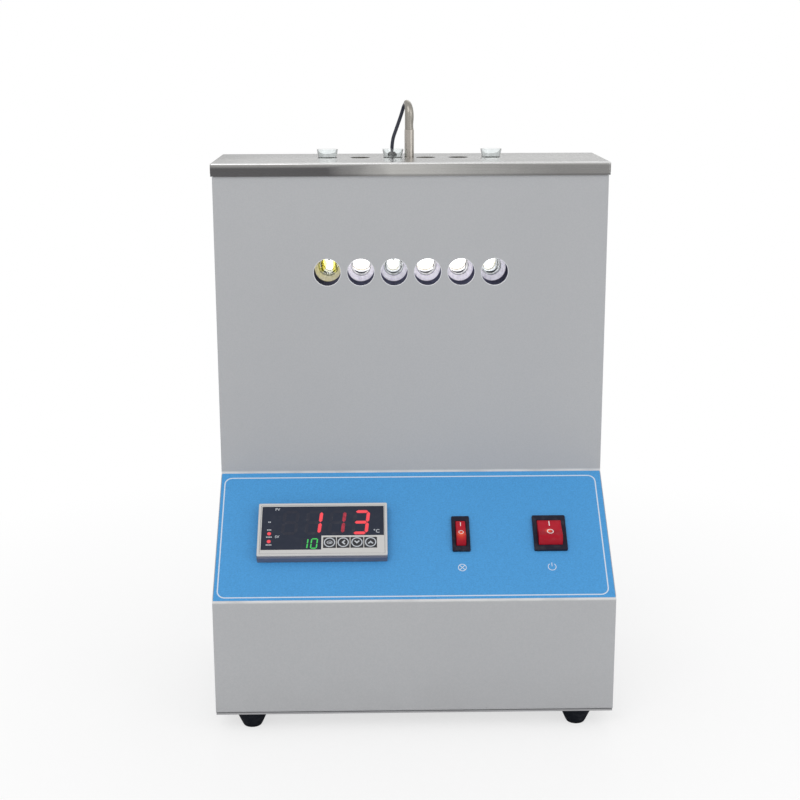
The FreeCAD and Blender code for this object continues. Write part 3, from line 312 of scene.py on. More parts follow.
def coat_effect() -> Tree:
    """Baked powder paint: orange peel, soft shade changes, a little soil near the bench, a painted highlight
    on the bends and painted shade at the bottom edge.
    """
    shaded, flecked = (0.93, 0.93, 0.94, 1.0), (0.8, 0.82, 0.84, 1.0)
    bend_highlight, dirt, shadow = (0.78, 0.78, 0.78, 1.0), (0.16, 0.15, 0.13, 1.0), (0.1, 0.08, 0.09, 1.0)
    soil_heights, bottom_shade_heights = (0.012, 0.05), (0.0139, 0.0154)

    def fill(nodes: Nodes, given: dict[str, Socket]) -> dict[str, Socket]:
        """Builds the inside of the group.

        Args:
            nodes: the group's nodes.
            given: its inputs by name.

        Returns:
            Its outputs by name.
        """
        place = nodes.place()
        height = nodes.axes(place)[2]
        paint = given["Paint"]
        shade = nodes.span(nodes.noise(place, 7.0, 3.0), (0.3, 0.7))
        fleck = nodes.span(nodes.noise(place, 950.0, 3.0), (0.35, 0.65))
        soil = nodes.times(nodes.span(height, soil_heights, (1.0, 0.0)), nodes.noise(place, 60.0, 4.0))
        edge = nodes.span(height, bottom_shade_heights, (0.3, 0.0))
        dark = nodes.mix(1.0, paint, shaded, "MULTIPLY")
        deep = nodes.mix(1.0, paint, flecked, "MULTIPLY")
        color = nodes.mix(nodes.times(shade, given["Shade"]), paint, dark)
        color = nodes.mix(nodes.times(fleck, given["Fleck"]), color, deep)
        # Painted highlight: the console's bends are lightened as if they caught the lamps.
        color = nodes.mix(nodes.times(bend_highlight_mask(nodes, place), given["Rubbed"]), color, bend_highlight)
        color = nodes.mix(nodes.times(soil, given["Soil"]), color, dirt)
        # Painted shade: a darker band along the cabinet's bottom edge, just above the feet.
        color = nodes.mix(nodes.times(edge, given["Rubbed"]), color, shadow)
        rough = nodes.span(nodes.noise(place, 160.0), (0.3, 0.7), (-0.05, 0.05))
        return {"Color": color, "Roughness": nodes.maths("ADD", rough, given["Roughness"]),
                "Normal": nodes.bump(nodes.noise(place, 1100.0, 3.0), given["Peel"])}
    inputs = {"Paint": (0.5, 0.5, 0.5, 1.0), "Shade": 0.6, "Fleck": 0.3, "Soil": 0.2, "Rubbed": 0.0,
              "Roughness": 0.45, "Peel": 0.00002}
    return shared_effect("powder coat", inputs, fill)


def brushed_effect() -> Tree:
    """Brushed sheet: long fine streaks along X, with faint clouds of rubbing over them."""
    streaked, streak_share, rough_spread = (0.72, 0.71, 0.7, 1.0), 0.6, 0.16

    def fill(nodes: Nodes, given: dict[str, Socket]) -> dict[str, Socket]:
        """Builds the inside of the group.

        Args:
            nodes: the group's nodes.
            given: its inputs by name.

        Returns:
            Its outputs by name.
        """
        place = nodes.place()
        streak = nodes.noise(nodes.stretched(place, (0.012, 1.0, 1.0)), 2600.0, 3.0)
        cloud = nodes.noise(nodes.stretched(place, (0.35, 1.0, 1.0)), 40.0, 4.0)
        both = nodes.maths("ADD", nodes.times(streak, streak_share), nodes.times(cloud, 1.0 - streak_share))
        mask = nodes.span(both, (0.35, 0.65))
        dark = nodes.mix(1.0, given["Metal"], streaked, "MULTIPLY")
        color = nodes.mix(nodes.times(mask, given["Contrast"]), given["Metal"], dark)
        rough = nodes.times(nodes.maths("SUBTRACT", mask, 0.5), rough_spread)
        return {"Color": color, "Roughness": nodes.maths("ADD", rough, given["Roughness"]),
                "Normal": nodes.bump(streak, given["Depth"])}
    inputs = {"Metal": (0.6, 0.6, 0.6, 1.0), "Contrast": 0.6, "Roughness": 0.3, "Depth": 0.00001}
    return shared_effect("brushed sheet", inputs, fill)


def moulded_effect() -> Tree:
    """Moulded plastic or rubber: a fine spark-eroded grain, handling marks and dust."""
    worn, dust = (0.5, 0.5, 0.5, 1.0), (0.45, 0.43, 0.4, 1.0)

    def fill(nodes: Nodes, given: dict[str, Socket]) -> dict[str, Socket]:
        """Builds the inside of the group.

        Args:
            nodes: the group's nodes.
            given: its inputs by name.

        Returns:
            Its outputs by name.
        """
        place = nodes.place()
        marks = nodes.span(nodes.noise(nodes.stretched(place, (1.0, 0.4, 2.0)), 180.0, 4.0), (0.5, 0.75))
        settled = nodes.times(nodes.span(nodes.upward(), (0.2, 1.0)), nodes.noise(place, 420.0, 4.0))
        pale = nodes.mix(0.5, given["Plastic"], worn)
        color = nodes.mix(nodes.times(marks, given["Marks"]), given["Plastic"], pale)
        color = nodes.mix(nodes.times(settled, given["Dust"]), color, dust)
        rough = nodes.maths("ADD", given["Roughness"], nodes.times(marks, 0.12))
        return {"Color": color, "Roughness": rough,
                "Normal": nodes.bump(nodes.noise(place, 3200.0, 3.0), given["Grain"])}
    inputs = {"Plastic": (0.1, 0.1, 0.1, 1.0), "Marks": 0.1, "Dust": 0.15, "Roughness": 0.5, "Grain": 0.00001}
    return shared_effect("moulded skin", inputs, fill)


def turned_effect() -> Tree:
    """Turned bores in a row: rays around each bore's axis, rings along it and a patchy painted yellow light
    on the first bore.
    """
    turned, ring_rate, pitch = (0.62, 0.62, 0.66, 1.0), 6000.0, TUBE_PITCH * MM
    border, blur = (tube_x(1) + tube_x(2)) / 2 * MM, 0.0012

    def fill(nodes: Nodes, given: dict[str, Socket]) -> dict[str, Socket]:
        """Builds the inside of the group.

        Args:
            nodes: the group's nodes.
            given: its inputs by name.

        Returns:
            Its outputs by name.
        """
        place = nodes.place()
        x, y, z = nodes.axes(place)
        across = nodes.maths("SUBTRACT", nodes.maths("FLOORED_MODULO", x, pitch), pitch / 2)
        turn = nodes.maths("ARCTAN2", nodes.maths("SUBTRACT", z, SIGHT_Z * MM), across)
        polar = nodes.add("ShaderNodeCombineXYZ", {0: turn, 1: nodes.times(y, 6.0), 2: nodes.times(x, 3.0)})
        mask = nodes.span(nodes.noise(polar.outputs[0], 5.0, 2.0), (0.3, 0.7))
        ring = nodes.maths("SINE", nodes.times(y, ring_rate))
        dark = nodes.mix(1.0, given["Metal"], turned, "MULTIPLY")
        color = nodes.mix(nodes.times(mask, given["Contrast"]), given["Metal"], dark)
        # Painted light: the first sleeve is tinted yellow in patches, as if lit through the yellow grease in
        # the first tube.
        first = nodes.span(x, (border - blur, border + blur), (1.0, 0.0))
        spots = nodes.span(nodes.noise(place, 240.0, 3.0), (0.3, 0.6), (0.65, 1.0))
        tint = nodes.mix(1.0, color, given["Stain"], "MULTIPLY")
        color = nodes.mix(nodes.times(first, spots), color, tint)
        rough = nodes.maths("ADD", given["Roughness"], nodes.times(mask, 0.08))
        return {"Color": color, "Roughness": rough, "Normal": nodes.bump(ring, given["Depth"])}
    inputs = {"Metal": (0.7, 0.7, 0.7, 1.0), "Stain": (0.86, 0.82, 0.48, 1.0), "Contrast": 0.6,
              "Roughness": 0.25, "Depth": 0.0000015}
    return shared_effect("turned bores", inputs, fill)


@dataclass(frozen=True)
class Finish:
    """What one kind of surface looks like: its name, its colour on a screen and its gloss."""

    name: str
    color: Screen
    roughness: float = 0.5

    def build(self) -> bpy.types.Material:
        """Makes the material and lets the finish dress it."""
        material = bpy.data.materials.new(self.name)
        material.use_nodes = True
        nodes = Nodes(material.node_tree)
        inputs = {"Base Color": linear(self.color), "Roughness": self.roughness}
        shader = nodes.add("ShaderNodeBsdfPrincipled", inputs)
        nodes.add("ShaderNodeOutputMaterial", {0: shader.outputs[0]})
        material.diffuse_color = linear(self.color)
        self.dress(nodes, shader)
        return material

    def dress(self, nodes: Nodes, shader: bpy.types.Node) -> None:
        """Adds the finish's own detail to a plain shader.

        Args:
            nodes: the material's nodes.
            shader: its Principled shader.
        """
        raise NotImplementedError

    def join(self, nodes: Nodes, shader: bpy.types.Node, tree: Tree, values: dict) -> bpy.types.Node:
        """Feeds a shared effect's colour, roughness and normal into the shader.

        Args:
            nodes: the material's nodes.
            shader: its Principled shader.
            tree: the effect.
            values: the effect's values here, but for the roughness.

        Returns:
            The effect's group node.
        """
        effect = nodes.effect(tree, {"Roughness": self.roughness, **values})
        color, roughness, normal = (effect.outputs[key] for key in ("Color", "Roughness", "Normal"))
        nodes.feed(shader, {"Base Color": color, "Roughness": roughness, "Normal": normal})
        return effect


@dataclass(frozen=True)
class Coat(Finish):
    """Paint on sheet metal, or a printed film."""

    peel: float = 0.00002
    shade: float = 0.6
    fleck: float = 0.3
    soil: float = 0.12
    painted_light: float = 0.0
    specular: float = 0.4

    def dress(self, nodes: Nodes, shader: bpy.types.Node) -> None:
        """Adds peel, shade, soil, a painted highlight on the bends and painted shade at the bottom edge; see
        Finish.dress.
        """
        values = {"Paint": linear(self.color), "Shade": self.shade, "Fleck": self.fleck, "Soil": self.soil,
                  "Rubbed": self.painted_light, "Peel": self.peel}
        self.join(nodes, shader, coat_effect(), values)
        nodes.feed(shader, {"Specular IOR Level": self.specular})


@dataclass(frozen=True)
class Brushed(Finish):
    """Brushed, rolled or plated metal."""

    contrast: float = 0.6
    depth: float = 0.00001
    anisotropy: float = 0.4

    def dress(self, nodes: Nodes, shader: bpy.types.Node) -> None:
        """Adds streaks; see Finish.dress."""
        self.streak(nodes, shader, linear(self.color))

    def streak(self, nodes: Nodes, shader: bpy.types.Node, metal: object) -> None:
        """Turns the shader into streaked metal.

        Args:
            nodes: the material's nodes.
            shader: its Principled shader.
            metal: the metal's colour, or a socket.
        """
        values = {"Metal": metal, "Contrast": self.contrast, "Depth": self.depth}
        self.join(nodes, shader, brushed_effect(), values)
        nodes.feed(shader, {"Metallic": 1.0, "Anisotropic": self.anisotropy})


@dataclass(frozen=True)
class PaintedLipReflection(Brushed):
    """A brushed cap with a folded lip whose reflection of a dim room is painted into its colour, darkest at
    its left, with a painted highlight on the bend.

    The lip's heights and bands are in millimetres, its spans along X in metres.
    """

    # edge is a painted highlight on the lip's bend; the two lip colours are its painted reflection.
    edge: Screen = (250, 250, 250)
    lip_reflection_light: Screen = (208, 207, 204)
    lip_reflection_dark: Screen = (104, 103, 104)
    lip_top: float = 405.8
    lip_low: float = 398.2
    top_band: float = 2.6
    low_band: float = 1.0
    rise: Point = (-0.062, -0.012)
    fall: Point = (-0.008, 0.105)
    right_share: float = 0.38
    wander: float = 0.014
    bent: Point = (0.12, 0.4)
    level: Point = (0.9, 0.985)

    def dress(self, nodes: Nodes, shader: bpy.types.Node) -> None:
        """Adds streaks and the lip's painted reflection and highlights; see Finish.dress."""
        place = nodes.place()
        across, _, height = nodes.axes(place)
        facing = nodes.upward()
        drift = nodes.span(nodes.noise(place, 35.0, 3.0), (0.2, 0.8), (-self.wander, self.wander))
        across = nodes.maths("ADD", across, drift)
        right = nodes.span(across, self.fall, (1.0, self.right_share))
        # Painted reflection: brightest just left of the middle, fading to the right, dark at the far left,
        # lighter in a top band, darker in a bottom band.
        upper = nodes.span(height, ((self.lip_top - self.top_band) * MM, self.lip_top * MM), (0.0, 0.7))
        lower = nodes.span(height, (self.lip_low * MM, (self.lip_low + self.low_band) * MM), (0.5, 1.0))
        light = nodes.maths("MAXIMUM", nodes.times(nodes.span(across, self.rise), right), upper)
        lip = nodes.mix(nodes.times(light, lower), linear(self.lip_reflection_dark), linear(self.lip_reflection_light))
        bend = nodes.mix(nodes.span(facing, self.bent), lip, linear(self.edge))
        self.streak(nodes, shader, nodes.mix(nodes.span(facing, self.level), bend, linear(self.color)))


@dataclass(frozen=True)
class Moulded(Finish):
    """Moulded plastic or rubber."""

    grain: float = 0.00001
    marks: float = 0.1
    dust: float = 0.12
    gloss: float = 0.0
    specular: float = 0.5

    def dress(self, nodes: Nodes, shader: bpy.types.Node) -> None:
        """Adds grain, marks and dust; see Finish.dress."""
        values = {"Plastic": linear(self.color), "Marks": self.marks, "Dust": self.dust, "Grain": self.grain}
        self.join(nodes, shader, moulded_effect(), values)
        nodes.feed(shader, {"Specular IOR Level": self.specular, "Coat Weight": self.gloss,
                            "Coat Roughness": 0.08})


@dataclass(frozen=True)
class Turned(Finish):
    """Aluminium turned and bored along the row of viewing holes."""

    contrast: float = 0.6
    metallic: float = 0.7
    painted_glow: float = 0.0

    def dress(self, nodes: Nodes, shader: bpy.types.Node) -> None:
        """Adds rays and rings, and a painted glow that stands in for the lamp light soaking the bores; see
        Finish.dress.
        """
        values = {"Metal": linear(self.color), "Contrast": self.contrast}
        effect = self.join(nodes, shader, turned_effect(), values)
        # The emission is a painted glow: the sleeves are no lamp.
        nodes.feed(shader, {"Emission Color": effect.outputs["Color"], "Emission Strength": self.painted_glow,
                            "Metallic": self.metallic})


@dataclass(frozen=True)
class Clear(Finish):
    """Glass, or a clear plastic lens."""

    ior: float = 1.47
    tint: float = 0.12
    waviness: float = 0.00003
    haze: float = 0.05

    def dress(self, nodes: Nodes, shader: bpy.types.Node) -> None:
        """Makes the shader clear, with a drawn glass's faint waviness; see Finish.dress."""
        place = nodes.place()
        wave = nodes.noise(nodes.stretched(place, (1.0, 1.0, 0.2)), 260.0)
        rough = nodes.span(nodes.noise(place, 500.0, 4.0), (0.45, 0.75),
                           (self.roughness, self.roughness + self.haze))
        nodes.feed(shader, {"Transmission Weight": 1.0, "IOR": self.ior, "Roughness": rough,
                            "Normal": nodes.bump(wave, self.waviness)})
        path = nodes.add("ShaderNodeLightPath")
        passing = nodes.maths("MAXIMUM", path.outputs["Is Shadow Ray"], path.outputs["Is Diffuse Ray"])
        tint = nodes.mix(self.tint, WHITE, linear(self.color))
        open_way = nodes.add("ShaderNodeBsdfTransparent", {0: tint})
        leave = next(node for node in nodes.tree.nodes if node.bl_idname == "ShaderNodeOutputMaterial")
        mixed = nodes.add("ShaderNodeMixShader", {0: passing, 1: shader.outputs[0], 2: open_way.outputs[0]})
        nodes.feed(leave, {"Surface": mixed.outputs[0]})


@dataclass(frozen=True)
class Lit(Finish):
    """A surface that shines by itself, with a slightly uneven level."""

    strength: float = 1.0
    spread: float = 0.15
    size: float = 60.0
    unlit: float = 1.0

    def dress(self, nodes: Nodes, shader: bpy.types.Node) -> None:
        """Adds the light; see Finish.dress."""
        level = nodes.span(nodes.noise(nodes.place(), self.size), (0.3, 0.7), (0.0, self.spread))
        glow = nodes.mix(level, linear(self.color), BLACK)
        nodes.feed(shader, {"Emission Color": glow, "Base Color": nodes.mix(self.unlit, BLACK, glow),
                            "Emission Strength": self.strength})


@dataclass(frozen=True)
class Lens(Finish):
    """A translucent rocker with its lamp shining through near one spot.

    The lamp, the middle, the reach, the half width and the bands are in millimetres on the console.
    """

    lamp: Spot = (0.0, 0.0, 0.0)
    reach: float = 5.0
    core: float = 0.4
    falloff: float = 2.6
    ripple: float = 0.9
    glow: Screen = (255, 120, 60)
    base_glow: float = 0.25
    middle: Spot = (0.0, 56.0, 5.0)
    half: float = 8.9
    side_band: float = 1.4
    side_share: float = 0.45
    end_band: Point = (7.5, 10.5)
    end_share: float = 0.5
    low_band: Point = (-2.0, 0.5)
    low_share: float = 0.4

    @staticmethod
    def on_console(spot: Spot) -> Spot:
        """A spot on the console, in metres."""
        return tuple(CONSOLE @ Vector(spot))

    @staticmethod
    def metres(band: Point) -> Point:
        """A band's two ends, in metres."""
        return (band[0] * MM, band[1] * MM)

    def dress(self, nodes: Nodes, shader: bpy.types.Node) -> None:
        """Adds the lamp's glow around its spot and a deeper red at the rim; see Finish.dress."""
        values = {"Plastic": linear(self.color), "Marks": 0.05, "Dust": 0.04, "Grain": 0.000004}
        self.join(nodes, shader, moulded_effect(), values)
        place = nodes.place()
        slope = (0.0, math.cos(CONSOLE_ANGLE), math.sin(CONSOLE_ANGLE))
        away = nodes.vector("DISTANCE", place, self.on_console(self.lamp))
        wavy = nodes.maths("ADD", away, nodes.times(nodes.noise(place, 900.0, 3.0), self.ripple * MM))
        near = nodes.span(wavy, self.metres((self.core, self.reach)), (1.0, 0.0))
        rim = nodes.vector("SUBTRACT", place, self.on_console(self.middle))
        along = nodes.vector("DOT_PRODUCT", rim, slope)
        across = nodes.maths("ABSOLUTE", nodes.axes(rim)[0])
        side_band = self.metres((self.half - self.side_band, self.half))
        sides = nodes.span(across, side_band, (1.0, self.side_share))
        ends = nodes.span(nodes.maths("ABSOLUTE", along), self.metres(self.end_band), (1.0, self.end_share))
        lower = nodes.span(along, self.metres(self.low_band), (self.low_share, 1.0))
        inner = nodes.times(nodes.times(sides, ends), lower)
        red = nodes.mix(inner, BLACK, dimmed(self.color, self.base_glow))
        lit = nodes.mix(nodes.maths("POWER", near, self.falloff), red, linear(self.glow))
        nodes.feed(shader, {"Emission Color": lit, "Emission Strength": 1.0, "Specular IOR Level": 0.12,
                            "Coat Weight": 0.08, "Coat Roughness": 0.1})


@dataclass(frozen=True)
class Ink(Finish):
    """Screen-printed ink, thin in places."""

    wear: float = 0.15
    under: Screen = (110, 160, 205)

    def dress(self, nodes: Nodes, shader: bpy.types.Node) -> None:
        """Adds the uneven print; see Finish.dress."""
        place = nodes.place()
        thin = nodes.span(nodes.noise(place, 1500.0, 3.0), (0.4, 0.7), (0.0, self.wear))
        level = (self.roughness - 0.05, self.roughness + 0.05)
        rough = nodes.span(nodes.noise(place, 900.0), (0.3, 0.7), level)
        color = nodes.mix(thin, linear(self.color), linear(self.under))
        nodes.feed(shader, {"Base Color": color, "Roughness": rough})


@dataclass(frozen=True)
class Fibre(Finish):
    """Pressed fibre board or a circuit board: a weave of short strands."""

    strand: float = 700.0
    depth: float = 0.00008

    def dress(self, nodes: Nodes, shader: bpy.types.Node) -> None:
        """Adds the strands; see Finish.dress."""
        place = nodes.place()
        long_way = nodes.noise(nodes.stretched(place, (0.15, 1.0, 1.0)), self.strand, 4.0)
        cross_way = nodes.noise(nodes.stretched(place, (1.0, 1.0, 0.15)), self.strand, 4.0)
        strands = nodes.maths("MAXIMUM", long_way, cross_way)
        mask = nodes.span(strands, (0.45, 0.75))
        color = nodes.mix(mask, dimmed(self.color, 0.7), linear(self.color))
        rough = nodes.span(mask, (0.0, 1.0), (self.roughness, self.roughness - 0.1))
        normal = nodes.bump(strands, self.depth)
        nodes.feed(shader, {"Base Color": color, "Roughness": rough, "Normal": normal})


@dataclass(frozen=True)
class Greasy(Finish):
    """Lubricating grease: smooth, wet and a little see-through."""

    clear: float = 0.25
    wet: float = 0.5

    def dress(self, nodes: Nodes, shader: bpy.types.Node) -> None:
        """Adds lumps and a wet coat; see Finish.dress."""
        lumps = nodes.noise(nodes.place(), 700.0, 4.0)
        mask = nodes.span(lumps, (0.35, 0.65))
        nodes.feed(shader, {"Base Color": nodes.mix(mask, dimmed(self.color, 0.55), linear(self.color)),
                            "Normal": nodes.bump(lumps, 0.0003), "Transmission Weight": self.clear,
                            "Coat Weight": self.wet})


SLOT_FINISHES: dict[str, Finish] = {finish.name: finish for finish in (
    Coat("cabinet_paint", (178, 179, 181), 0.42, painted_light=0.75),
    Coat("console_film", (76, 161, 224), 0.5, peel=0.000006, shade=0.35, fleck=0.9, soil=0.0),
    PaintedLipReflection("cover_stainless", (175, 175, 174), 0.27),
    Moulded("foot_rubber", (14, 18, 26), 0.75, grain=0.00003, dust=0.06, marks=0.05, specular=0.12),
    Brushed("screw_steel", (190, 190, 188), 0.3, contrast=0.4),
    Turned("block_aluminium", (196, 197, 204), 0.4, contrast=0.4),
    Turned("sleeve_aluminium", (232, 229, 240), 0.42, contrast=0.4, painted_glow=0.4),
    # black_board is a dark sheet behind the holes where there is only shade; its pale blue-grey colour is
    # painted light on that shade.
    Fibre("black_board", (124, 126, 156), 0.9),
    Fibre("insulation_board", (214, 206, 190), 0.95, depth=0.0002),
    Brushed("heater_sheath", (150, 140, 128), 0.4),
    Brushed("cutout_body", (196, 196, 194), 0.35),
    Brushed("stand_zinc", (176, 178, 180), 0.38, contrast=0.9),
    Coat("light_box_white", (240, 240, 238), 0.5, soil=0.0),
    Lit("diffuser_opal", (255, 255, 255), 0.4, strength=3.0, spread=0.05),
    Fibre("board_green", (20, 96, 58), 0.45, strand=1400.0, depth=0.00002),
    Lit("lamp_white", (255, 252, 240), 0.3, strength=2.0),
    Clear("tube_glass", (247, 250, 250), 0.0),
    Brushed("cup_plated", (214, 210, 202), 0.16, contrast=0.3, anisotropy=0.0),
    Brushed("probe_steel", (196, 190, 182), 0.24, contrast=0.5),
    Moulded("lead_black", (44, 47, 62), 0.55, grain=0.00003, dust=0.05),
    Moulded("grommet_rubber", (28, 28, 30), 0.65),
    Moulded("meter_body", (92, 98, 118), 0.55, marks=0.15),
    Moulded("meter_face", (206, 205, 203), 0.5, dust=0.02),
    Moulded("meter_glass", (30, 38, 56), 0.35, grain=0.000002, marks=0.03, dust=0.02, gloss=0.06,
            specular=0.3),
    Moulded("key_caps", (30, 32, 38), 0.4, dust=0.04),
    Moulded("switch_black", (29, 27, 44), 0.5, dust=0.03, specular=0.15),
    Lens("rocker_red", (176, 22, 30), 0.3),
    Moulded("inlet_black", (30, 30, 32), 0.5),
    Brushed("inlet_pin_metal", (208, 200, 176), 0.25),
    Clear("fuse_glass", (240, 245, 240), 0.02),
    Moulded("relay_body", (222, 220, 212), 0.5),
    Brushed("supply_case", (186, 188, 190), 0.4),
    Moulded("terminal_plastic", (30, 30, 32), 0.5),
)}

PRINT = Ink("print_white", (214, 224, 236), 0.5)
KEY_PRINT = Ink("key_print", (196, 200, 206), 0.5, wear=0.05)
DIGIT_RED = Lit("digit_red", (246, 74, 84), 0.5, strength=1.0, spread=0.1, size=700.0, unlit=0.1)
DIGIT_DIM = Lit("digit_dim", (178, 46, 66), 0.5, strength=1.0, spread=0.5, size=500.0, unlit=0.1)
DIGIT_GREEN = Lit("digit_green", (70, 206, 96), 0.5, strength=1.0, spread=0.2, size=900.0, unlit=0.1)
DIGIT_DARK = Moulded("digit_dark", (44, 47, 60), 0.5, dust=0.0, specular=0.3)
# A near-white painted highlight for the thin ring around each hole's edge.
HOLE_EDGE_HIGHLIGHT = Coat("hole_edge_highlight", (232, 233, 236), 0.35, soil=0.0)
GROOVE = Moulded("meter_groove", (120, 122, 132), 0.6, dust=0.0)
GREASE = Greasy("grease", (214, 182, 92), 0.3)
OIL = Clear("oil_film", (250, 238, 128), 0.05, ior=1.08)


@dataclass
class Shape:
    """A mesh under construction, in millimetres."""

    verts: list[Vector] = field(default_factory=list)
    faces: list[tuple[int, ...]] = field(default_factory=list)

    def rows(self, rows: Sequence[Sequence[Vector]], ring: bool = True, caps: bool = True) -> "Shape":
        """Joins rows of points into a skin.

        Args:
            rows: rows of equally many points.
            ring: joins each row's last point to its first.
            caps: closes the first and the last row.

        Returns:
            The shape itself.
        """
        base = len(self.verts)
        count = len(rows[0])
        for row in rows:
            self.verts.extend(row)
        last = count if ring else count - 1
        for level in range(len(rows) - 1):
            low, high = base + level * count, base + (level + 1) * count
            for index in range(last):
                after = (index + 1) % count
                self.faces.append((low + index, low + after, high + after, high + index))
        if caps:
            top = base + (len(rows) - 1) * count
            self.faces.append(tuple(base + index for index in reversed(range(count))))
            self.faces.append(tuple(top + index for index in range(count)))
        return self

    def prism(self, outline: Sequence[Point], low: float, high: float,
              place: Matrix = Matrix.Identity(4)) -> "Shape":
        """Adds an outline drawn from one height to another.

        Args:
            outline: corners, anticlockwise from above.
            low: the lower height.
            high: the upper height.
            place: where the outline lies.

        Returns:
            The shape itself.
        """
        levels = [[place @ Vector((x, y, height)) for x, y in outline] for height in (low, high)]
        return self.rows(levels)

    def band(self, outer: Sequence[Point], inner: Sequence[Point], low: float, high: float,
             place: Matrix = Matrix.Identity(4)) -> "Shape":
        """Adds a flat band between two outlines of equally many corners.

        Args:
            outer: the outer corners, anticlockwise.
            inner: the inner corners, in step with the outer ones.
            low: the lower height.
            high: the upper height.
            place: where the outlines lie.

        Returns:
            The shape itself.
        """
        loops = ((outer, low), (outer, high), (inner, high), (inner, low), (outer, low))
        levels = [[place @ Vector((x, y, height)) for x, y in line] for line, height in loops]
        return self.rows(levels, caps=False)

    def lathe(self, outline: Sequence[Point], steps: int = 48, place: Matrix = Matrix.Identity(4),
              loop: bool = False) -> "Shape":
        """Adds a turned form.

        Args:
            outline: (radius, height) points from its bottom to its top.
            steps: how many parts a turn has.
            place: where its axis lies.
            loop: joins the outline's end to its start, for a form with a bore.

        Returns:
            The shape itself.
        """
        line = list(outline) + [outline[0]] if loop else list(outline)
        levels = [[place @ Vector((x, y, height)) for x, y in circle(radius, steps)]
                  for radius, height in line]
        return self.rows(levels, caps=not loop)

    def mesh(self, name: str, place: Matrix, split: float = 32.0) -> bpy.types.Mesh:
        """Makes the mesh in metres, smooth but for its sharp edges.

        Args:
            name: the mesh's name.
            place: from the shape's millimetres to the room's metres.
            split: the least angle of a sharp edge, in degrees.

        Returns:
            The mesh, its doubles merged and its faces outwards.
        """
        mesh = bpy.data.meshes.new(name)
        mesh.from_pydata([place @ vert for vert in self.verts], [], self.faces)
        work = bmesh.new()
        work.from_mesh(mesh)
        bmesh.ops.remove_doubles(work, verts=work.verts, dist=1e-6)
        bmesh.ops.recalc_face_normals(work, faces=work.faces)
        work.to_mesh(mesh)
        work.free()
        mesh.shade_smooth()
        mesh.set_sharp_from_angle(angle=math.radians(split))
        return mesh


def arc(radius: float, start: float, end: float, steps: int, centre: Point = (0.0, 0.0)) -> list[Point]:
    """An arc's points, both its ends included.

    Args:
        radius: its radius.
        start: its first angle in degrees.
        end: its last angle in degrees.
        steps: how many parts it has.
        centre: its middle.

    Returns:
        The points.
    """
    turns = [math.radians(start + (end - start) * index / steps) for index in range(steps + 1)]
    return [(centre[0] + radius * math.cos(turn), centre[1] + radius * math.sin(turn)) for turn in turns]


def circle(radius: float, steps: int = 40, centre: Point = (0.0, 0.0)) -> list[Point]:
    """A circle's points, anticlockwise."""
    return arc(radius, 0.0, 360.0, steps, centre)[:-1]


def rounded(low: Point, high: Point, radius: float, steps: int = 6) -> list[Point]:
    """A rectangle's points with round corners, anticlockwise.

    Args:
        low: the lower left corner.
        high: the upper right corner.
        radius: the corners' radius.
        steps: how many parts a corner has.

    Returns:
        The points.
    """
    middles = ((high[0] - radius, high[1] - radius, 0), (low[0] + radius, high[1] - radius, 90),
               (low[0] + radius, low[1] + radius, 180), (high[0] - radius, low[1] + radius, 270))
    corners = [arc(radius, start, start + 90, steps, (x, y)) for x, y, start in middles]
    return [point for corner in corners for point in corner]


def bar(start: Point, end: Point, width: float) -> list[Point]:
    """A straight stroke's four corners, anticlockwise.

    Args:
        start: where its middle line starts.
        end: where its middle line ends.
        width: its width.

    Returns:
        The corners.
    """
    way = Vector((end[0] - start[0], end[1] - start[1])).normalized() * width / 2
    side = Vector((-way.y, way.x))
    return [(start[0] - side.x, start[1] - side.y), (end[0] - side.x, end[1] - side.y),
            (end[0] + side.x, end[1] + side.y), (start[0] + side.x, start[1] + side.y)]


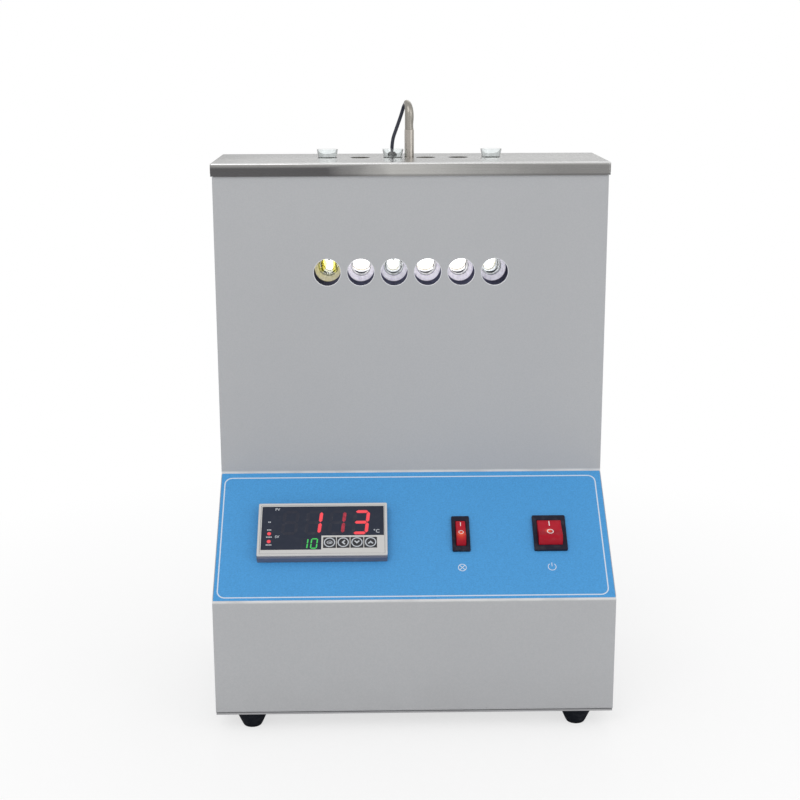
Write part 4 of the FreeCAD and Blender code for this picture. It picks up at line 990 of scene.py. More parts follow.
class Workshop:
    """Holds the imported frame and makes, dresses and places pieces on it."""

    def __init__(self, frame: dict) -> None:
        """Reads which body and which material slot each node has.
        """
        self.nodes: dict[str, Piece] = frame["nodes"]
        record = frame["record"]
        self.body_of = {node: body for body, group in record["behaviour"]["bodies"].items() for node in group}
        self.slot_of = {part["node"]: part["material_slot"] for part in record["subparts"]}
        self.materials: dict[str, bpy.types.Material] = {}

    def material(self, finish: Finish) -> bpy.types.Material:
        """The material of a finish, made once."""
        if finish.name not in self.materials:
            self.materials[finish.name] = finish.build()
        return self.materials[finish.name]

    def paint_nodes(self) -> None:
        """Gives every node of the frame its slot's finish."""
        for name, piece in self.nodes.items():
            finish = self.material(SLOT_FINISHES[self.slot_of[name]])
            piece.data.materials.clear()
            piece.data.materials.append(finish)
        log.info("%d nodes painted", len(self.nodes))

    def place(self, mesh: bpy.types.Mesh, name: str, body: str, finish: Finish) -> Piece:
        """Makes an object of a mesh, dresses it and lets it ride on a body.

        Args:
            mesh: the finished mesh, in metres.
            name: the piece's name.
            body: the body that carries it.
            finish: its finish.

        Returns:
            The piece.
        """
        mesh.materials.clear()
        mesh.materials.append(self.material(finish))
        piece = added(name, mesh)
        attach(piece, body)
        log.info("piece %s rides on %s", name, body)
        return piece

    def form(self, shape: Shape, name: str, body: str, finish: Finish, at: Matrix = ROOM,
             split: float = 32.0) -> Piece:
        """Makes a piece of a shape.

        Args:
            shape: the finished shape.
            name: the piece's name.
            body: the body that carries it.
            finish: its finish.
            at: from the shape's millimetres to the room's metres.
            split: the least angle of a sharp edge, in degrees.

        Returns:
            The piece.
        """
        return self.place(shape.mesh(name, at, split), name, body, finish)

    def smooth(self, node: str, finish: Finish | None = None, split: float = 32.0,
               bevel: float = 0.0) -> Piece:
        """Replaces a node by a copy of itself with merged corners and soft shading.

        Args:
            node: the node's name.
            finish: its finish, or its slot's.
            split: the least angle of a sharp edge, in degrees.
            bevel: the width of a small bevel on its sharp edges, or 0.

        Returns:
            The piece that stands for the node.
        """
        work = bmesh.new()
        work.from_mesh(self.nodes[node].data)
        bmesh.ops.remove_doubles(work, verts=work.verts, dist=2e-6)
        if bevel:
            bmesh.ops.dissolve_limit(work, angle_limit=math.radians(1.5), verts=work.verts, edges=work.edges)
        work.verts.index_update()
        points = [vert.co.copy() for vert in work.verts]
        faces = [tuple(vert.index for vert in face.verts) for face in work.faces]
        work.free()
        mesh = bpy.data.meshes.new(node + "_soft")
        mesh.from_pydata(points, [], faces)
        mesh.shade_smooth()
        mesh.set_sharp_from_angle(angle=math.radians(split))
        finish = finish or SLOT_FINISHES[self.slot_of[node]]
        piece = self.place(mesh, node + "_soft", self.body_of[node], finish)
        if bevel:
            edge = piece.modifiers.new("edge", "BEVEL")
            edge.width = bevel * MM
            edge.segments = 2
            edge.limit_method = "ANGLE"
            edge.angle_limit = math.radians(40)
        weigh = piece.modifiers.new("weigh", "WEIGHTED_NORMAL")
        weigh.keep_sharp = True
        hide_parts(node)
        return piece


class Copies:
    """Geometry Nodes trees that repeat one form, and the mesh that comes out of them."""

    @staticmethod
    def tree(name: str, sockets: dict[str, str]) -> tuple[Tree, Nodes, bpy.types.Node]:
        """Starts a geometry tree with a geometry input, named inputs and a geometry output.

        Args:
            name: the tree's name.
            sockets: input name to socket type.

        Returns:
            The tree, its nodes and its input node.
        """
        tree = bpy.data.node_groups.new(name, "GeometryNodeTree")
        tree.interface.new_socket("Geometry", in_out="INPUT", socket_type="NodeSocketGeometry")
        for key, kind in sockets.items():
            tree.interface.new_socket(key, in_out="INPUT", socket_type=kind)
        tree.interface.new_socket("Geometry", in_out="OUTPUT", socket_type="NodeSocketGeometry")
        nodes = Nodes(tree)
        return tree, nodes, nodes.add("NodeGroupInput")

    @staticmethod
    def finish_tree(nodes: Nodes, instances: Socket, material: Socket) -> None:
        """Ends a tree in real geometry with its material.

        Args:
            nodes: the tree's nodes.
            instances: what comes in.
            material: the material's socket.
        """
        real = nodes.add("GeometryNodeRealizeInstances", {0: instances})
        dressed = nodes.add("GeometryNodeSetMaterial", {"Geometry": real.outputs[0], "Material": material})
        nodes.add("NodeGroupOutput", {0: dressed.outputs[0]})

    @classmethod
    def row_tree(cls) -> Tree:
        """Copies of the incoming form in a straight row: Count, Step and Material."""
        sockets = {"Count": "NodeSocketInt", "Step": "NodeSocketVector", "Material": "NodeSocketMaterial"}
        tree, nodes, entry = cls.tree("row of copies", sockets)
        given = entry.outputs
        line = nodes.add("GeometryNodeMeshLine", {"Count": given["Count"], "Offset": given["Step"]})
        row = nodes.add("GeometryNodeInstanceOnPoints", {"Points": line.outputs[0], "Instance": given[0]})
        cls.finish_tree(nodes, row.outputs[0], given["Material"])
        return tree

    @classmethod
    def spot_tree(cls) -> Tree:
        """Copies of a form at the incoming points, each turned at random: Form, Axis, Seed, Material."""
        sockets = {"Form": "NodeSocketObject", "Axis": "NodeSocketVector", "Seed": "NodeSocketInt",
                   "Material": "NodeSocketMaterial"}
        tree, nodes, entry = cls.tree("copies on spots", sockets)
        given = entry.outputs
        form = nodes.add("GeometryNodeObjectInfo", {"Object": given["Form"]})
        most_socket = 3
        inputs = {"Seed": given["Seed"], most_socket: 2 * math.pi}
        turn = nodes.add("FunctionNodeRandomValue", inputs, data_type="FLOAT")
        spin = nodes.add("FunctionNodeAxisAngleToRotation", {"Axis": given["Axis"], "Angle": turn.outputs[1]})
        inputs = {"Points": given[0], "Instance": form.outputs["Geometry"], "Rotation": spin.outputs[0]}
        spots = nodes.add("GeometryNodeInstanceOnPoints", inputs)
        cls.finish_tree(nodes, spots.outputs[0], given["Material"])
        return tree

    @staticmethod
    def run(mesh: bpy.types.Mesh, tree: Tree, values: dict[str, object]) -> bpy.types.Mesh:
        """Runs a tree on a mesh and returns the plain mesh that comes out.

        Args:
            mesh: the form or the points that go in.
            tree: the tree.
            values: input name to value.

        Returns:
            The new mesh.
        """
        holder = added("holder", mesh)
        modifier = holder.modifiers.new("copies", "NODES")
        modifier.node_group = tree
        keys = {item.name: item.identifier for item in tree.interface.items_tree if item.in_out == "INPUT"}
        for name, value in values.items():
            modifier[keys[name]] = value
        graph = bpy.context.evaluated_depsgraph_get()
        result = bpy.data.meshes.new_from_object(holder.evaluated_get(graph), depsgraph=graph)
        holder.modifiers.remove(modifier)
        bpy.data.objects.remove(holder)
        return result


@dataclass
class Camera:
    """The photograph's view: the focal length in pixels and where the camera stands."""

    focal: float = 1459.16
    picture: float = 800.0
    sensor: float = 36.0
    place: Spot = (-27.87, FRONT_Y - 988.92, 491.01)
    yaw: float = 0.0179
    pitch: float = 0.2389
    roll: float = -0.0032

    def build(self) -> None:
        """Makes the camera and hands it to the scene."""
        ahead = Vector((math.sin(self.yaw) * math.cos(self.pitch), math.cos(self.yaw) * math.cos(self.pitch),
                        -math.sin(self.pitch)))
        right = Vector((math.cos(self.yaw), -math.sin(self.yaw), 0.0))
        up = right.cross(ahead)
        turned_right = right * math.cos(self.roll) + up * math.sin(self.roll)
        turned_up = up * math.cos(self.roll) - right * math.sin(self.roll)
        data = bpy.data.cameras.new("camera")
        data.sensor_width = self.sensor
        data.lens = self.focal / self.picture * self.sensor
        data.clip_start = 0.01
        matrix = Matrix((turned_right, turned_up, -ahead)).transposed().to_4x4()
        matrix.translation = Vector(self.place) * MM
        camera = added("camera", data)
        camera.matrix_world = matrix
        bpy.context.scene.camera = camera


@dataclass
class Lead:
    """The probe's lead, from the probe's bent end to the grommet."""

    diameter: float = 2.7
    length: float = 48.2
    route: tuple[Spot, ...] = (
        (-1.9, 8.4, 40.6), (-3.2, 17.4, 39.8), (-5.4, 22.2, 31.6), (-9.4, 21.8, 20.6), (-13.0, 19.0, 11.0),
        (-13.0, 19.0, 3.0))

    def build(self, shop: Workshop) -> None:
        """Draws the lead as one soft curve.

        Args:
            shop: the workshop.
        """
        points = [Vector((x, ROW_Y + y, COVER_TOP + z)) * MM for x, y, z in self.route]
        curve = bpy.data.curves.new("lead", "CURVE")
        curve.dimensions = "3D"
        curve.bevel_depth = self.diameter / 2 * MM
        curve.bevel_resolution = 6
        curve.use_fill_caps = True
        spline = curve.splines.new("NURBS")
        spline.points.add(len(points) - 1)
        for target, point in zip(spline.points, points):
            target.co = (*point, 1.0)
        spline.order_u = 3
        spline.use_endpoint_u = True
        spline.resolution_u = 12
        curve.materials.append(shop.material(SLOT_FINISHES["lead_black"]))
        piece = added("lead", curve)
        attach(piece, "cabinet")
        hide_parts("probe_lead")
        log.info("lead laid")


@dataclass
class Cabinet:
    """The painted sheet, the film on it, the cover and the feet."""

    film_end: float = 0.75
    end_share: float = 0.05
    foot_swell: float = 1.2

    def build(self, shop: Workshop) -> None:
        """Softens the folded sheets' bends and the turned feet.

        Args:
            shop: the workshop.
        """
        for node in ("front_panel", "side_panel_left", "side_panel_right", "rear_panel", "bottom_plate"):
            shop.smooth(node)
        shop.smooth("top_cover", split=40.0)
        for end in ("front", "rear"):
            for side in ("left", "right"):
                self.foot(shop, f"foot_{end}_{side}")
        self.film(shop)

    def foot(self, shop: Workshop, node: str) -> None:
        """Softens one rubber foot and swells it as the weight on it does.

        Args:
            shop: the workshop.
            node: the foot's node.
        """
        piece = shop.smooth(node, bevel=0.4)
        corners = [vert.co.copy() for vert in piece.data.vertices]
        middle = sum(corners, Vector()) / len(corners)
        for vert in piece.data.vertices:
            away = vert.co - middle
            vert.co = middle + Vector((away.x * self.foot_swell, away.y * self.foot_swell, away.z))

    def film(self, shop: Workshop) -> None:
        """Softens the printed film and draws both its ends up to the bends.

        Args:
            shop: the workshop.
        """
        piece = shop.smooth("console_overlay", split=20.0)
        back = CONSOLE.inverted()
        for vert in piece.data.vertices:
            across, along, up = back @ vert.co
            if along < CONSOLE_LENGTH * self.end_share:
                vert.co = CONSOLE @ Vector((across, self.film_end, up))
            elif along > CONSOLE_LENGTH * (1 - self.end_share):
                vert.co = CONSOLE @ Vector((across, CONSOLE_LENGTH - self.film_end, up))


@dataclass
class ConsolePrint:
    """The line and the signs printed on the console's film."""

    film_face: float = 0.4
    ink: float = 0.03
    low: Point = (-143.2, 2.6)
    high: Point = (141.4, 110.0)
    corner: float = 6.0
    line: float = 0.9
    sign_up: float = 27.0
    light_x: float = 35.6
    power_x: float = 101.6
    sign_radius: float = 2.9
    stroke: float = 0.55
    power_open: Point = (125.0, 415.0)
    power_stem: float = 0.7

    def heights(self) -> Point:
        """The print's underside and top."""
        return (self.film_face, self.film_face + self.ink)

    def build(self, shop: Workshop) -> None:
        """Prints the frame line and the two signs.

        Args:
            shop: the workshop.
        """
        edge, (left, low), (right, high) = self.line, self.low, self.high
        outer = rounded(self.low, self.high, self.corner)
        inner = rounded((left + edge, low + edge), (right - edge, high - edge), self.corner - edge)
        shape = Shape().band(outer, inner, *self.heights())
        lamp = Matrix.Translation((self.light_x, self.sign_up, 0.0))
        self.ring(shape, (0.0, 360.0), lamp)
        reach = (self.sign_radius - self.stroke / 2) * math.sqrt(0.5)
        for side in (-1, 1):
            stroke = bar((-side * reach, -reach), (side * reach, reach), self.stroke)
            shape.prism(stroke, *self.heights(), lamp)
        power = Matrix.Translation((self.power_x, self.sign_up, 0.0))
        self.ring(shape, self.power_open, power)
        stem = bar((0.0, 0.4), (0.0, self.sign_radius + self.power_stem), self.stroke)
        shape.prism(stem, *self.heights(), power)
        shop.form(shape, "console_print", "cabinet", PRINT, CONSOLE)

    def ring(self, shape: Shape, span: Point, at: Matrix) -> None:
        """Adds a sign's ring, or a part of it.

        Args:
            shape: the shape to add to.
            span: its first and last angle in degrees.
            at: where its middle lies.
        """
        low, high = self.heights()
        outer, inner = (arc(self.sign_radius + side * self.stroke / 2, *span, 28) for side in (1, -1))
        rows = []
        for a, b in zip(outer, inner):
            corners = ((*a, low), (*a, high), (*b, high), (*b, low))
            rows.append([at @ Vector(corner) for corner in corners])
        shape.rows(rows)


class Segment(Enum):
    """The seven bars of a digit: start and end in half widths and half heights."""

    TOP = ((-1, 1), (1, 1))
    RIGHT_UP = ((1, 0), (1, 1))
    RIGHT_DOWN = ((1, -1), (1, 0))
    BOTTOM = ((-1, -1), (1, -1))
    LEFT_DOWN = ((-1, -1), (-1, 0))
    LEFT_UP = ((-1, 0), (-1, 1))
    MIDDLE = ((-1, 0), (1, 0))


RIGHT = (Segment.RIGHT_UP, Segment.RIGHT_DOWN)
LIT_BARS = {
    "0": tuple(bar_name for bar_name in Segment if bar_name is not Segment.MIDDLE),
    "1": RIGHT,
    "3": RIGHT + (Segment.TOP, Segment.MIDDLE, Segment.BOTTOM),
}


@dataclass
class Digit:
    """One seven-bar digit: its middle, its outer size, its bars' width and its lean."""

    centre: Point
    width: float
    height: float
    stroke: float
    lean: float = 0.1
    gap_share: float = 0.12

    def outline(self, segment: Segment) -> list[Point]:
        """One bar's six corners.

        Args:
            segment: which bar.

        Returns:
            The corners, leaning as the digit does.
        """
        half_w, half_h = (self.width - self.stroke) / 2, (self.height - self.stroke) / 2
        start, end = [Vector((x * half_w, y * half_h)) for x, y in segment.value]
        way = (end - start).normalized()
        side = Vector((-way.y, way.x)) * self.stroke / 2
        gap = self.stroke * self.gap_share
        start, end = start + way * gap, end - way * gap
        inset = way * self.stroke / 2
        corners = [start, start + inset - side, end - inset - side, end, end - inset + side,
                   start + inset + side]
        return [(self.centre[0] + c.x + self.lean * c.y, self.centre[1] + c.y) for c in corners]


class Sign(Enum):
    """What is printed on a meter key."""

    LOOP = "key_set"
    LEFT = "key_shift"
    DOWN = "key_down"
    UP = "key_up"


@dataclass
class PanelMeter:
    """The panel meter's bezel, window, digits and keys."""

    centre: Point = (-67.2, 56.8)
    face: float = 6.9
    ink: float = 0.04
    big_rights: tuple[float, ...] = (0.4, 17.8, 35.4)
    big_middle: float = 6.7
    big_size: Point = (12.2, 21.6)
    big_stroke: float = 2.5
    big_inset: float = 0.9
    big_step: float = 17.5
    small_rights: tuple[float, ...] = (-10.1, -3.1)
    small_middle: float = -11.9
    small_size: Point = (5.2, 9.2)
    small_stroke: float = 0.95
    small_inset: float = 0.4
    dots: tuple[Point, ...] = ((-39.5, -2.9), (-39.5, -9.8))
    dot_radius: float = 1.45
    key_first: float = 5.3
    key_pitch: float = 10.1
    key_up: float = -11.1
    key_face: float = 7.1
    key_size: float = 9.0
    ring_share: float = 0.465
    ring_width: float = 0.8
    groove_half: Point = (46.3, 21.55)
    groove_up: float = 0.75
    groove_width: float = 0.28
    groove_lift: float = 0.005
    marks: tuple[tuple[float, float, int], ...] = (
        (-39.4, 6.9, 2), (-39.4, -0.1, 3), (-39.4, -6.4, 4), (-39.4, -13.3, 4))
    mark_step: float = 1.1
    mark_size: Point = (0.8, 1.0)
    captions: tuple[tuple[str, Point, float], ...] = (
        ("PV", (-33.9, 18.7), 2.5), ("SV", (-33.6, -5.8), 2.5), ("°C", (40.0, -1.4), 3.4))

    def place(self) -> Matrix:
        """From the meter's own middle to the room."""
        return CONSOLE @ Matrix.Translation((self.centre[0], self.centre[1], 0.0))

    def build(self, shop: Workshop) -> None:
        """Softens the housing and adds everything that shows on its face.

        Args:
            shop: the workshop.
        """
        shop.smooth("meter_case", bevel=0.35)
        shop.smooth("meter_faceplate", bevel=0.18)
        shop.smooth("meter_window", bevel=0.1)
        self.digits(shop)
        self.words(shop)
        self.trim(shop)
        for index, sign in enumerate(Sign):
            shop.smooth(sign.value, bevel=0.25)
            self.key(shop, index, sign)

    def digits(self, shop: Workshop) -> None:
        """Adds the lit bars and the two lit dots.

        Args:
            shop: the workshop.
        """
        low, high = self.face, self.face + self.ink
        place, size = self.place(), self.big_size
        big = [Digit((right - size[0] / 2 - self.big_inset, self.big_middle), *size, self.big_stroke)
               for right in self.big_rights]
        size = self.small_size
        small = [Digit((right - size[0] / 2 - self.small_inset, self.small_middle), *size, self.small_stroke)
                 for right in self.small_rights]
        lit = (("digit_first", big[0], "1", DIGIT_RED), ("digit_second", big[1], "1", DIGIT_DIM),
               ("digit_third", big[2], "3", DIGIT_RED), ("set_first", small[0], "1", DIGIT_GREEN),
               ("set_second", small[1], "0", DIGIT_GREEN))
        ghosts = Shape()
        for name, digit, text, finish in lit:
            shape = Shape()
            for segment in Segment:
                target = shape if segment in LIT_BARS[text] else ghosts
                target.prism(digit.outline(segment), low, high)
            shop.form(shape, name, "cabinet", finish, place)
        spare = Digit((big[0].centre[0] - self.big_step, self.big_middle), *self.big_size, self.big_stroke)
        for segment in Segment:
            ghosts.prism(spare.outline(segment), low, high)
        shop.form(ghosts, "unlit_bars", "cabinet", DIGIT_DARK, place)
        dots = Shape()
        for centre in self.dots:
            dots.prism(circle(self.dot_radius, 28, centre), low, high)
        shop.form(dots, "lit_dots", "cabinet", DIGIT_RED, place)

    def trim(self, shop: Workshop) -> None:
        """Draws the groove inside the face's rim and the small status marks beside the dots.

        Args:
            shop: the workshop.
        """
        (half_w, half_h), up, width = self.groove_half, self.groove_up, self.groove_width
        top = self.face + self.ink
        outer = rounded((-half_w, up - half_h), (half_w, up + half_h), 0.5)
        inner = rounded((-half_w + width, up - half_h + width), (half_w - width, up + half_h - width), 0.3)
        groove = Shape().band(outer, inner, self.face + self.groove_lift, top)
        shop.form(groove, "meter_groove", "cabinet", GROOVE, self.place())
        marks = Shape()
        wide, tall = self.mark_size
        for x, y, parts in self.marks:
            for index in range(parts):
                left = x + (index - parts / 2) * self.mark_step
                dash = [(left, y), (left + wide, y), (left + wide, y + tall), (left, y + tall)]
                marks.prism(dash, self.face, top)
        shop.form(marks, "status_marks", "cabinet", KEY_PRINT, self.place())

    def words(self, shop: Workshop) -> None:
        """Adds the two value names and the unit, in small printed letters.

        Args:
            shop: the workshop.
        """
        capital = 0.8
        for index, (text, (x, y), size) in enumerate(self.captions):
            curve = bpy.data.curves.new("caption", "FONT")
            curve.body = text
            curve.size = size / capital
            curve.align_x = "CENTER"
            curve.align_y = "CENTER"
            curve.extrude = self.ink / 2
            curve.offset = 0.05
            curve.resolution_u = 3
            holder = bpy.data.objects.new("caption", curve)
            mesh = bpy.data.meshes.new_from_object(holder)
            mesh.transform(self.place() @ Matrix.Translation((x, y, self.face + self.ink / 2)))
            bpy.data.objects.remove(holder)
            shop.place(mesh, f"caption_{index + 1}", "cabinet", KEY_PRINT)

    def key(self, shop: Workshop, index: int, sign: Sign) -> None:
        """Prints a ring and a sign on one key.

        Args:
            shop: the workshop.
            index: which key, from the left.
            sign: its sign.
        """
        low, high = self.key_face, self.key_face + self.ink
        at = Matrix.Translation((self.key_first + index * self.key_pitch, self.key_up, 0.0))
        shape = Shape()
        radius = self.key_size * self.ring_share
        shape.band(circle(radius), circle(radius - self.ring_width), low, high, at)
        if sign is Sign.LOOP:
            flat = Matrix.Diagonal((1.25, 0.8, 1.0, 1.0))
            shape.band(circle(1.75, 28), circle(1.3, 28), low, high, at @ flat)
            shape.prism(bar((-1.0, 0.0), (1.2, 0.0), 0.5), low, high, at)
            shape.prism([(-0.1, -1.0), (1.1, -0.9), (0.5, -0.1)], low, high, at)
        else:
            turn = {Sign.LEFT: 90.0, Sign.DOWN: 180.0, Sign.UP: 0.0}[sign]
            spun = at @ Matrix.Rotation(math.radians(turn), 4, "Z")
            reach, drop, stroke = 2.1, 1.15, 1.15
            tip, cut = 1.5, 0.75
            arrow = [(0.0, tip), (-reach, tip - reach), (-reach + cut, cut - reach),
                     (0.0, tip - stroke * 1.4), (reach - cut, cut - reach), (reach, tip - reach)]
            shape.prism([(x, y - drop + 0.9) for x, y in arrow], low, high, spun)
        name = sign.value + "_print"
        shop.form(shape, name, sign.value, KEY_PRINT, self.place())


@dataclass
class RockerSwitch:
    """A lit rocker in its frame, with the marks for on and off."""

    node: str
    body: str
    x: float
    lamp: Spot
    mark_scale: float = 1.0
    up: float = 56.0
    pivot_depth: float = 2.4
    middle: float = 5.0
    facet: float = 5.0
    tilt: float = 17.0
    on_reach: float = 5.1
    off_reach: float = 4.2
    lift: float = 0.01
    ink: float = 0.05
    reach: float = 6.0
    base_glow: float = 0.25
    half: float = 8.9
    on_size: Point = (0.7, 5.0)
    off_size: Point = (2.5, 2.9)
    off_hole: float = 0.74
    red: Screen = (158, 14, 34)
    mark_color: Screen = (245, 235, 235)

    def build(self, shop: Workshop) -> None:
        """Softens the frame and the rocker and prints both marks.

        Args:
            shop: the workshop.
        """
        shop.smooth(self.node + "_frame", bevel=0.3)
        lens = Lens(self.node + "_lens", self.red, 0.3, lamp=self.lamp, reach=self.reach,
                    base_glow=self.base_glow, middle=(self.x, self.up, self.middle), half=self.half)
        shop.smooth(self.node + "_rocker", finish=lens, bevel=0.3)
        pivot = (CONSOLE @ Matrix.Translation((self.x, self.up, -self.pivot_depth))
                 @ Matrix.Rotation(math.radians(-self.tilt), 4, "X"))
        wide, tall = (side * self.mark_scale for side in self.on_size)
        stroke = bar((0.0, -tall / 2), (0.0, tall / 2), wide)
        shape = Shape().prism(stroke, self.lift, self.ink, self.on_facet(1, self.on_reach))
        wide, tall = (side * self.mark_scale for side in self.off_size)
        oval = self.on_facet(-1, -self.off_reach) @ Matrix.Diagonal((wide, tall, 1.0, 1.0))
        shape.band(circle(1.0), circle(self.off_hole), self.lift, self.ink, oval)
        mark = Ink(self.node + "_mark", self.mark_color, 0.4, wear=0.05)
        shop.form(shape, self.node + "_marks", self.body, mark, pivot)

    def on_facet(self, side: int, along: float) -> Matrix:
        """A place on one of the rocker's two facets, seen from its pivot.

        Args:
            side: 1 for the upper facet, -1 for the lower one.
            along: how far up the facet it is.

        Returns:
            The place.
        """
        return (Matrix.Translation((0.0, 0.0, self.middle + self.pivot_depth))
                @ Matrix.Rotation(math.radians(side * self.facet), 4, "X")
                @ Matrix.Translation((0.0, along, 0.0)))


@dataclass
class ViewingRow:
    """What shows through the six holes: turned sleeves, the block, tubes, cups and grease."""

    hole_radius: float = 10.0
    sleeve_front: float = TOWER_Y + 22.5
    sleeve_length: float = 11.5
    sleeve_radius: float = 10.3
    cone_mouth: float = 9.9
    cone_end: float = 7.82
    cup_base: float = 329.83
    cup_height: float = 12.0
    cup_inner: float = 3.15
    nose: float = 3.95
    glass_inner: float = 5.75
    bottom_radius: float = 6.75
    edge_width: float = 0.42
    edge_depth: float = 1.1
    edge_skin: float = 0.04
    films: tuple[tuple[float, float, float, float], ...] = (
        (150.0, 235.0, 319.5, 334.5), (300.0, 372.0, 320.0, 333.0))

    def build(self, shop: Workshop) -> None:
        """Turns the sleeves, softens the block and the glass and fills the cups.

        Args:
            shop: the workshop.
        """
        self.hole_edges(shop)
        self.sleeves(shop)
        for node in ("heating_block", "front_board", "insulation_rear", "insulation_top"):
            shop.smooth(node)
        for place in FILLED_PLACES:
            shop.smooth(f"test_tube_{place}", split=50.0)
            shop.smooth(f"grease_cup_{place}", split=40.0)
            self.grease(shop, place)
        self.stain(shop)

    @staticmethod
    def ring_row(shop: Workshop, name: str, outline: Sequence[Point], front: float, finish: Finish) -> Piece:
        """Turns one ring around a hole's axis and repeats it along the row.

        Args:
            shop: the workshop.
            name: the piece's name.
            outline: the ring's (radius, depth) points.
            front: the Y of depth 0.
            finish: its finish.

        Returns:
            The piece with all six rings.
        """
        first = Matrix.Translation((tube_x(1), front, SIGHT_Z)) @ Matrix.Rotation(math.radians(-90), 4, "X")
        single = Shape().lathe(outline, 96, first, loop=True).mesh(name, ROOM, 25.0)
        step = (TUBE_PITCH * MM, 0.0, 0.0)
        values = {"Count": TUBE_PLACES, "Step": step, "Material": shop.material(finish)}
        return shop.place(Copies.run(single, Copies.row_tree(), values), name, "cabinet", finish)

    def hole_edges(self, shop: Workshop) -> None:
        """Runs a thin ring with a painted highlight around each hole's edge in the tower's front.

        Args:
            shop: the workshop.
        """
        hole, width, depth, skin = self.hole_radius, self.edge_width, self.edge_depth, self.edge_skin
        outline = [(hole - 0.03, depth), (hole - 0.03, 0.12), (hole + 0.1, -skin),
                   (hole + width - 0.08, -skin), (hole + width, 0.02), (hole + 0.1, 0.02),
                   (hole + 0.02, depth)]
        self.ring_row(shop, "hole_edges", outline, TOWER_Y, HOLE_EDGE_HIGHLIGHT)

    def sleeves(self, shop: Workshop) -> None:
        """Turns one sleeve and repeats it along the row.

        Args:
            shop: the workshop.
        """
        radius, length, lip = self.sleeve_radius, self.sleeve_length, 0.35
        outline = [(self.cone_mouth, 0.0), (radius - lip, 0.0), (radius, lip), (radius, length),
                   (self.cone_end, length), (self.cone_mouth - 0.15, 0.9)]
        finish = SLOT_FINISHES["sleeve_aluminium"]
        piece = self.ring_row(shop, "sleeves", outline, self.sleeve_front, finish)
        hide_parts("sight_sleeves")

    def grease(self, shop: Workshop, place: int) -> None:
        """Fills one cup with grease, heaped a little at the rim and through the drip hole.

        Args:
            shop: the workshop.
            place: the tube's place.
        """
        at = Matrix.Translation((tube_x(place), ROW_Y, self.cup_base))
        rim = self.cup_height
        outline = [(0.0, -1.6), (0.55, -1.5), (1.0, -0.7), (1.2, 0.3), (1.3, 0.95), (1.32, 1.1),
                   (self.cup_inner, self.nose + 0.1), (self.cup_inner, rim - 0.4), (2.2, rim + 0.2),
                   (1.0, rim + 0.7), (0.0, rim + 0.9)]
        fill = Shape().lathe(outline, 32, at)
        shop.form(fill, f"grease_{place}", f"tube_{place}", GREASE, split=60.0)

    def stain(self, shop: Workshop) -> None:
        """Lays the melted grease in the first tube: a pool in its bottom and films on its wall.

        Args:
            shop: the workshop.
        """
        at = Matrix.Translation((tube_x(1), ROW_Y, 0.0))
        centre = TUBE_BOTTOM + self.bottom_radius
        pool = arc(self.glass_inner - 0.06, -90, -15, 8, (0.0, centre))
        pool += [(self.glass_inner * 0.7, centre - 0.9), (0.0, centre - 1.1)]
        shop.form(Shape().lathe(pool, 40, at), "oil_pool", "tube_1", OIL, split=60.0)
        film = Shape()
        for start, end, low, high in self.films:
            film.rows(self.film_rows(at, (start, end), (low, high)))
        shop.form(film, "oil_film", "tube_1", OIL, split=80.0)

    def film_rows(self, at: Matrix, span: Point, heights: Point) -> list[list[Vector]]:
        """The skin of one film of melted grease on the glass's wall.

        Args:
            at: the tube's axis.
            span: its first and last angle in degrees.
            heights: its lower and upper end.

        Returns:
            Rows of points from its lower to its upper end.
        """
        wall, levels, steps = self.glass_inner - 0.05, 8, 14
        (start, end), (low, high) = span, heights
        rows = []
        for level in range(levels + 1):
            share = level / levels
            height = low + (high - low) * share
            pinch = 22 * math.sin(share * math.pi * 1.7 + start)
            swell = 0.4 * math.sin(math.pi * (0.1 + 0.8 * share))
            outer, back = [], []
            for step in range(steps + 1):
                turn = math.radians(start + (end - start + pinch) * step / steps)
                deep = wall - 0.05 - swell * math.sin(math.pi * step / steps)
                outer.append(at @ Vector((wall * math.cos(turn), wall * math.sin(turn), height)))
                back.append(at @ Vector((deep * math.cos(turn), deep * math.sin(turn), height)))
            rows.append(outer + back[::-1])
        return rows


@dataclass
class Probe:
    """The temperature probe that stands in the cover."""

    sheath: Finish = Brushed("probe_sleeve", (176, 172, 164), 0.36, contrast=0.9, anisotropy=0.0)

    def build(self, shop: Workshop) -> None:
        """Softens the collar, the sheath and the grommet.

        Args:
            shop: the workshop.
        """
        shop.smooth("probe_collar", split=30.0)
        shop.smooth("probe_sheath", split=40.0, finish=self.sheath)
        shop.smooth("lead_grommet", split=30.0)


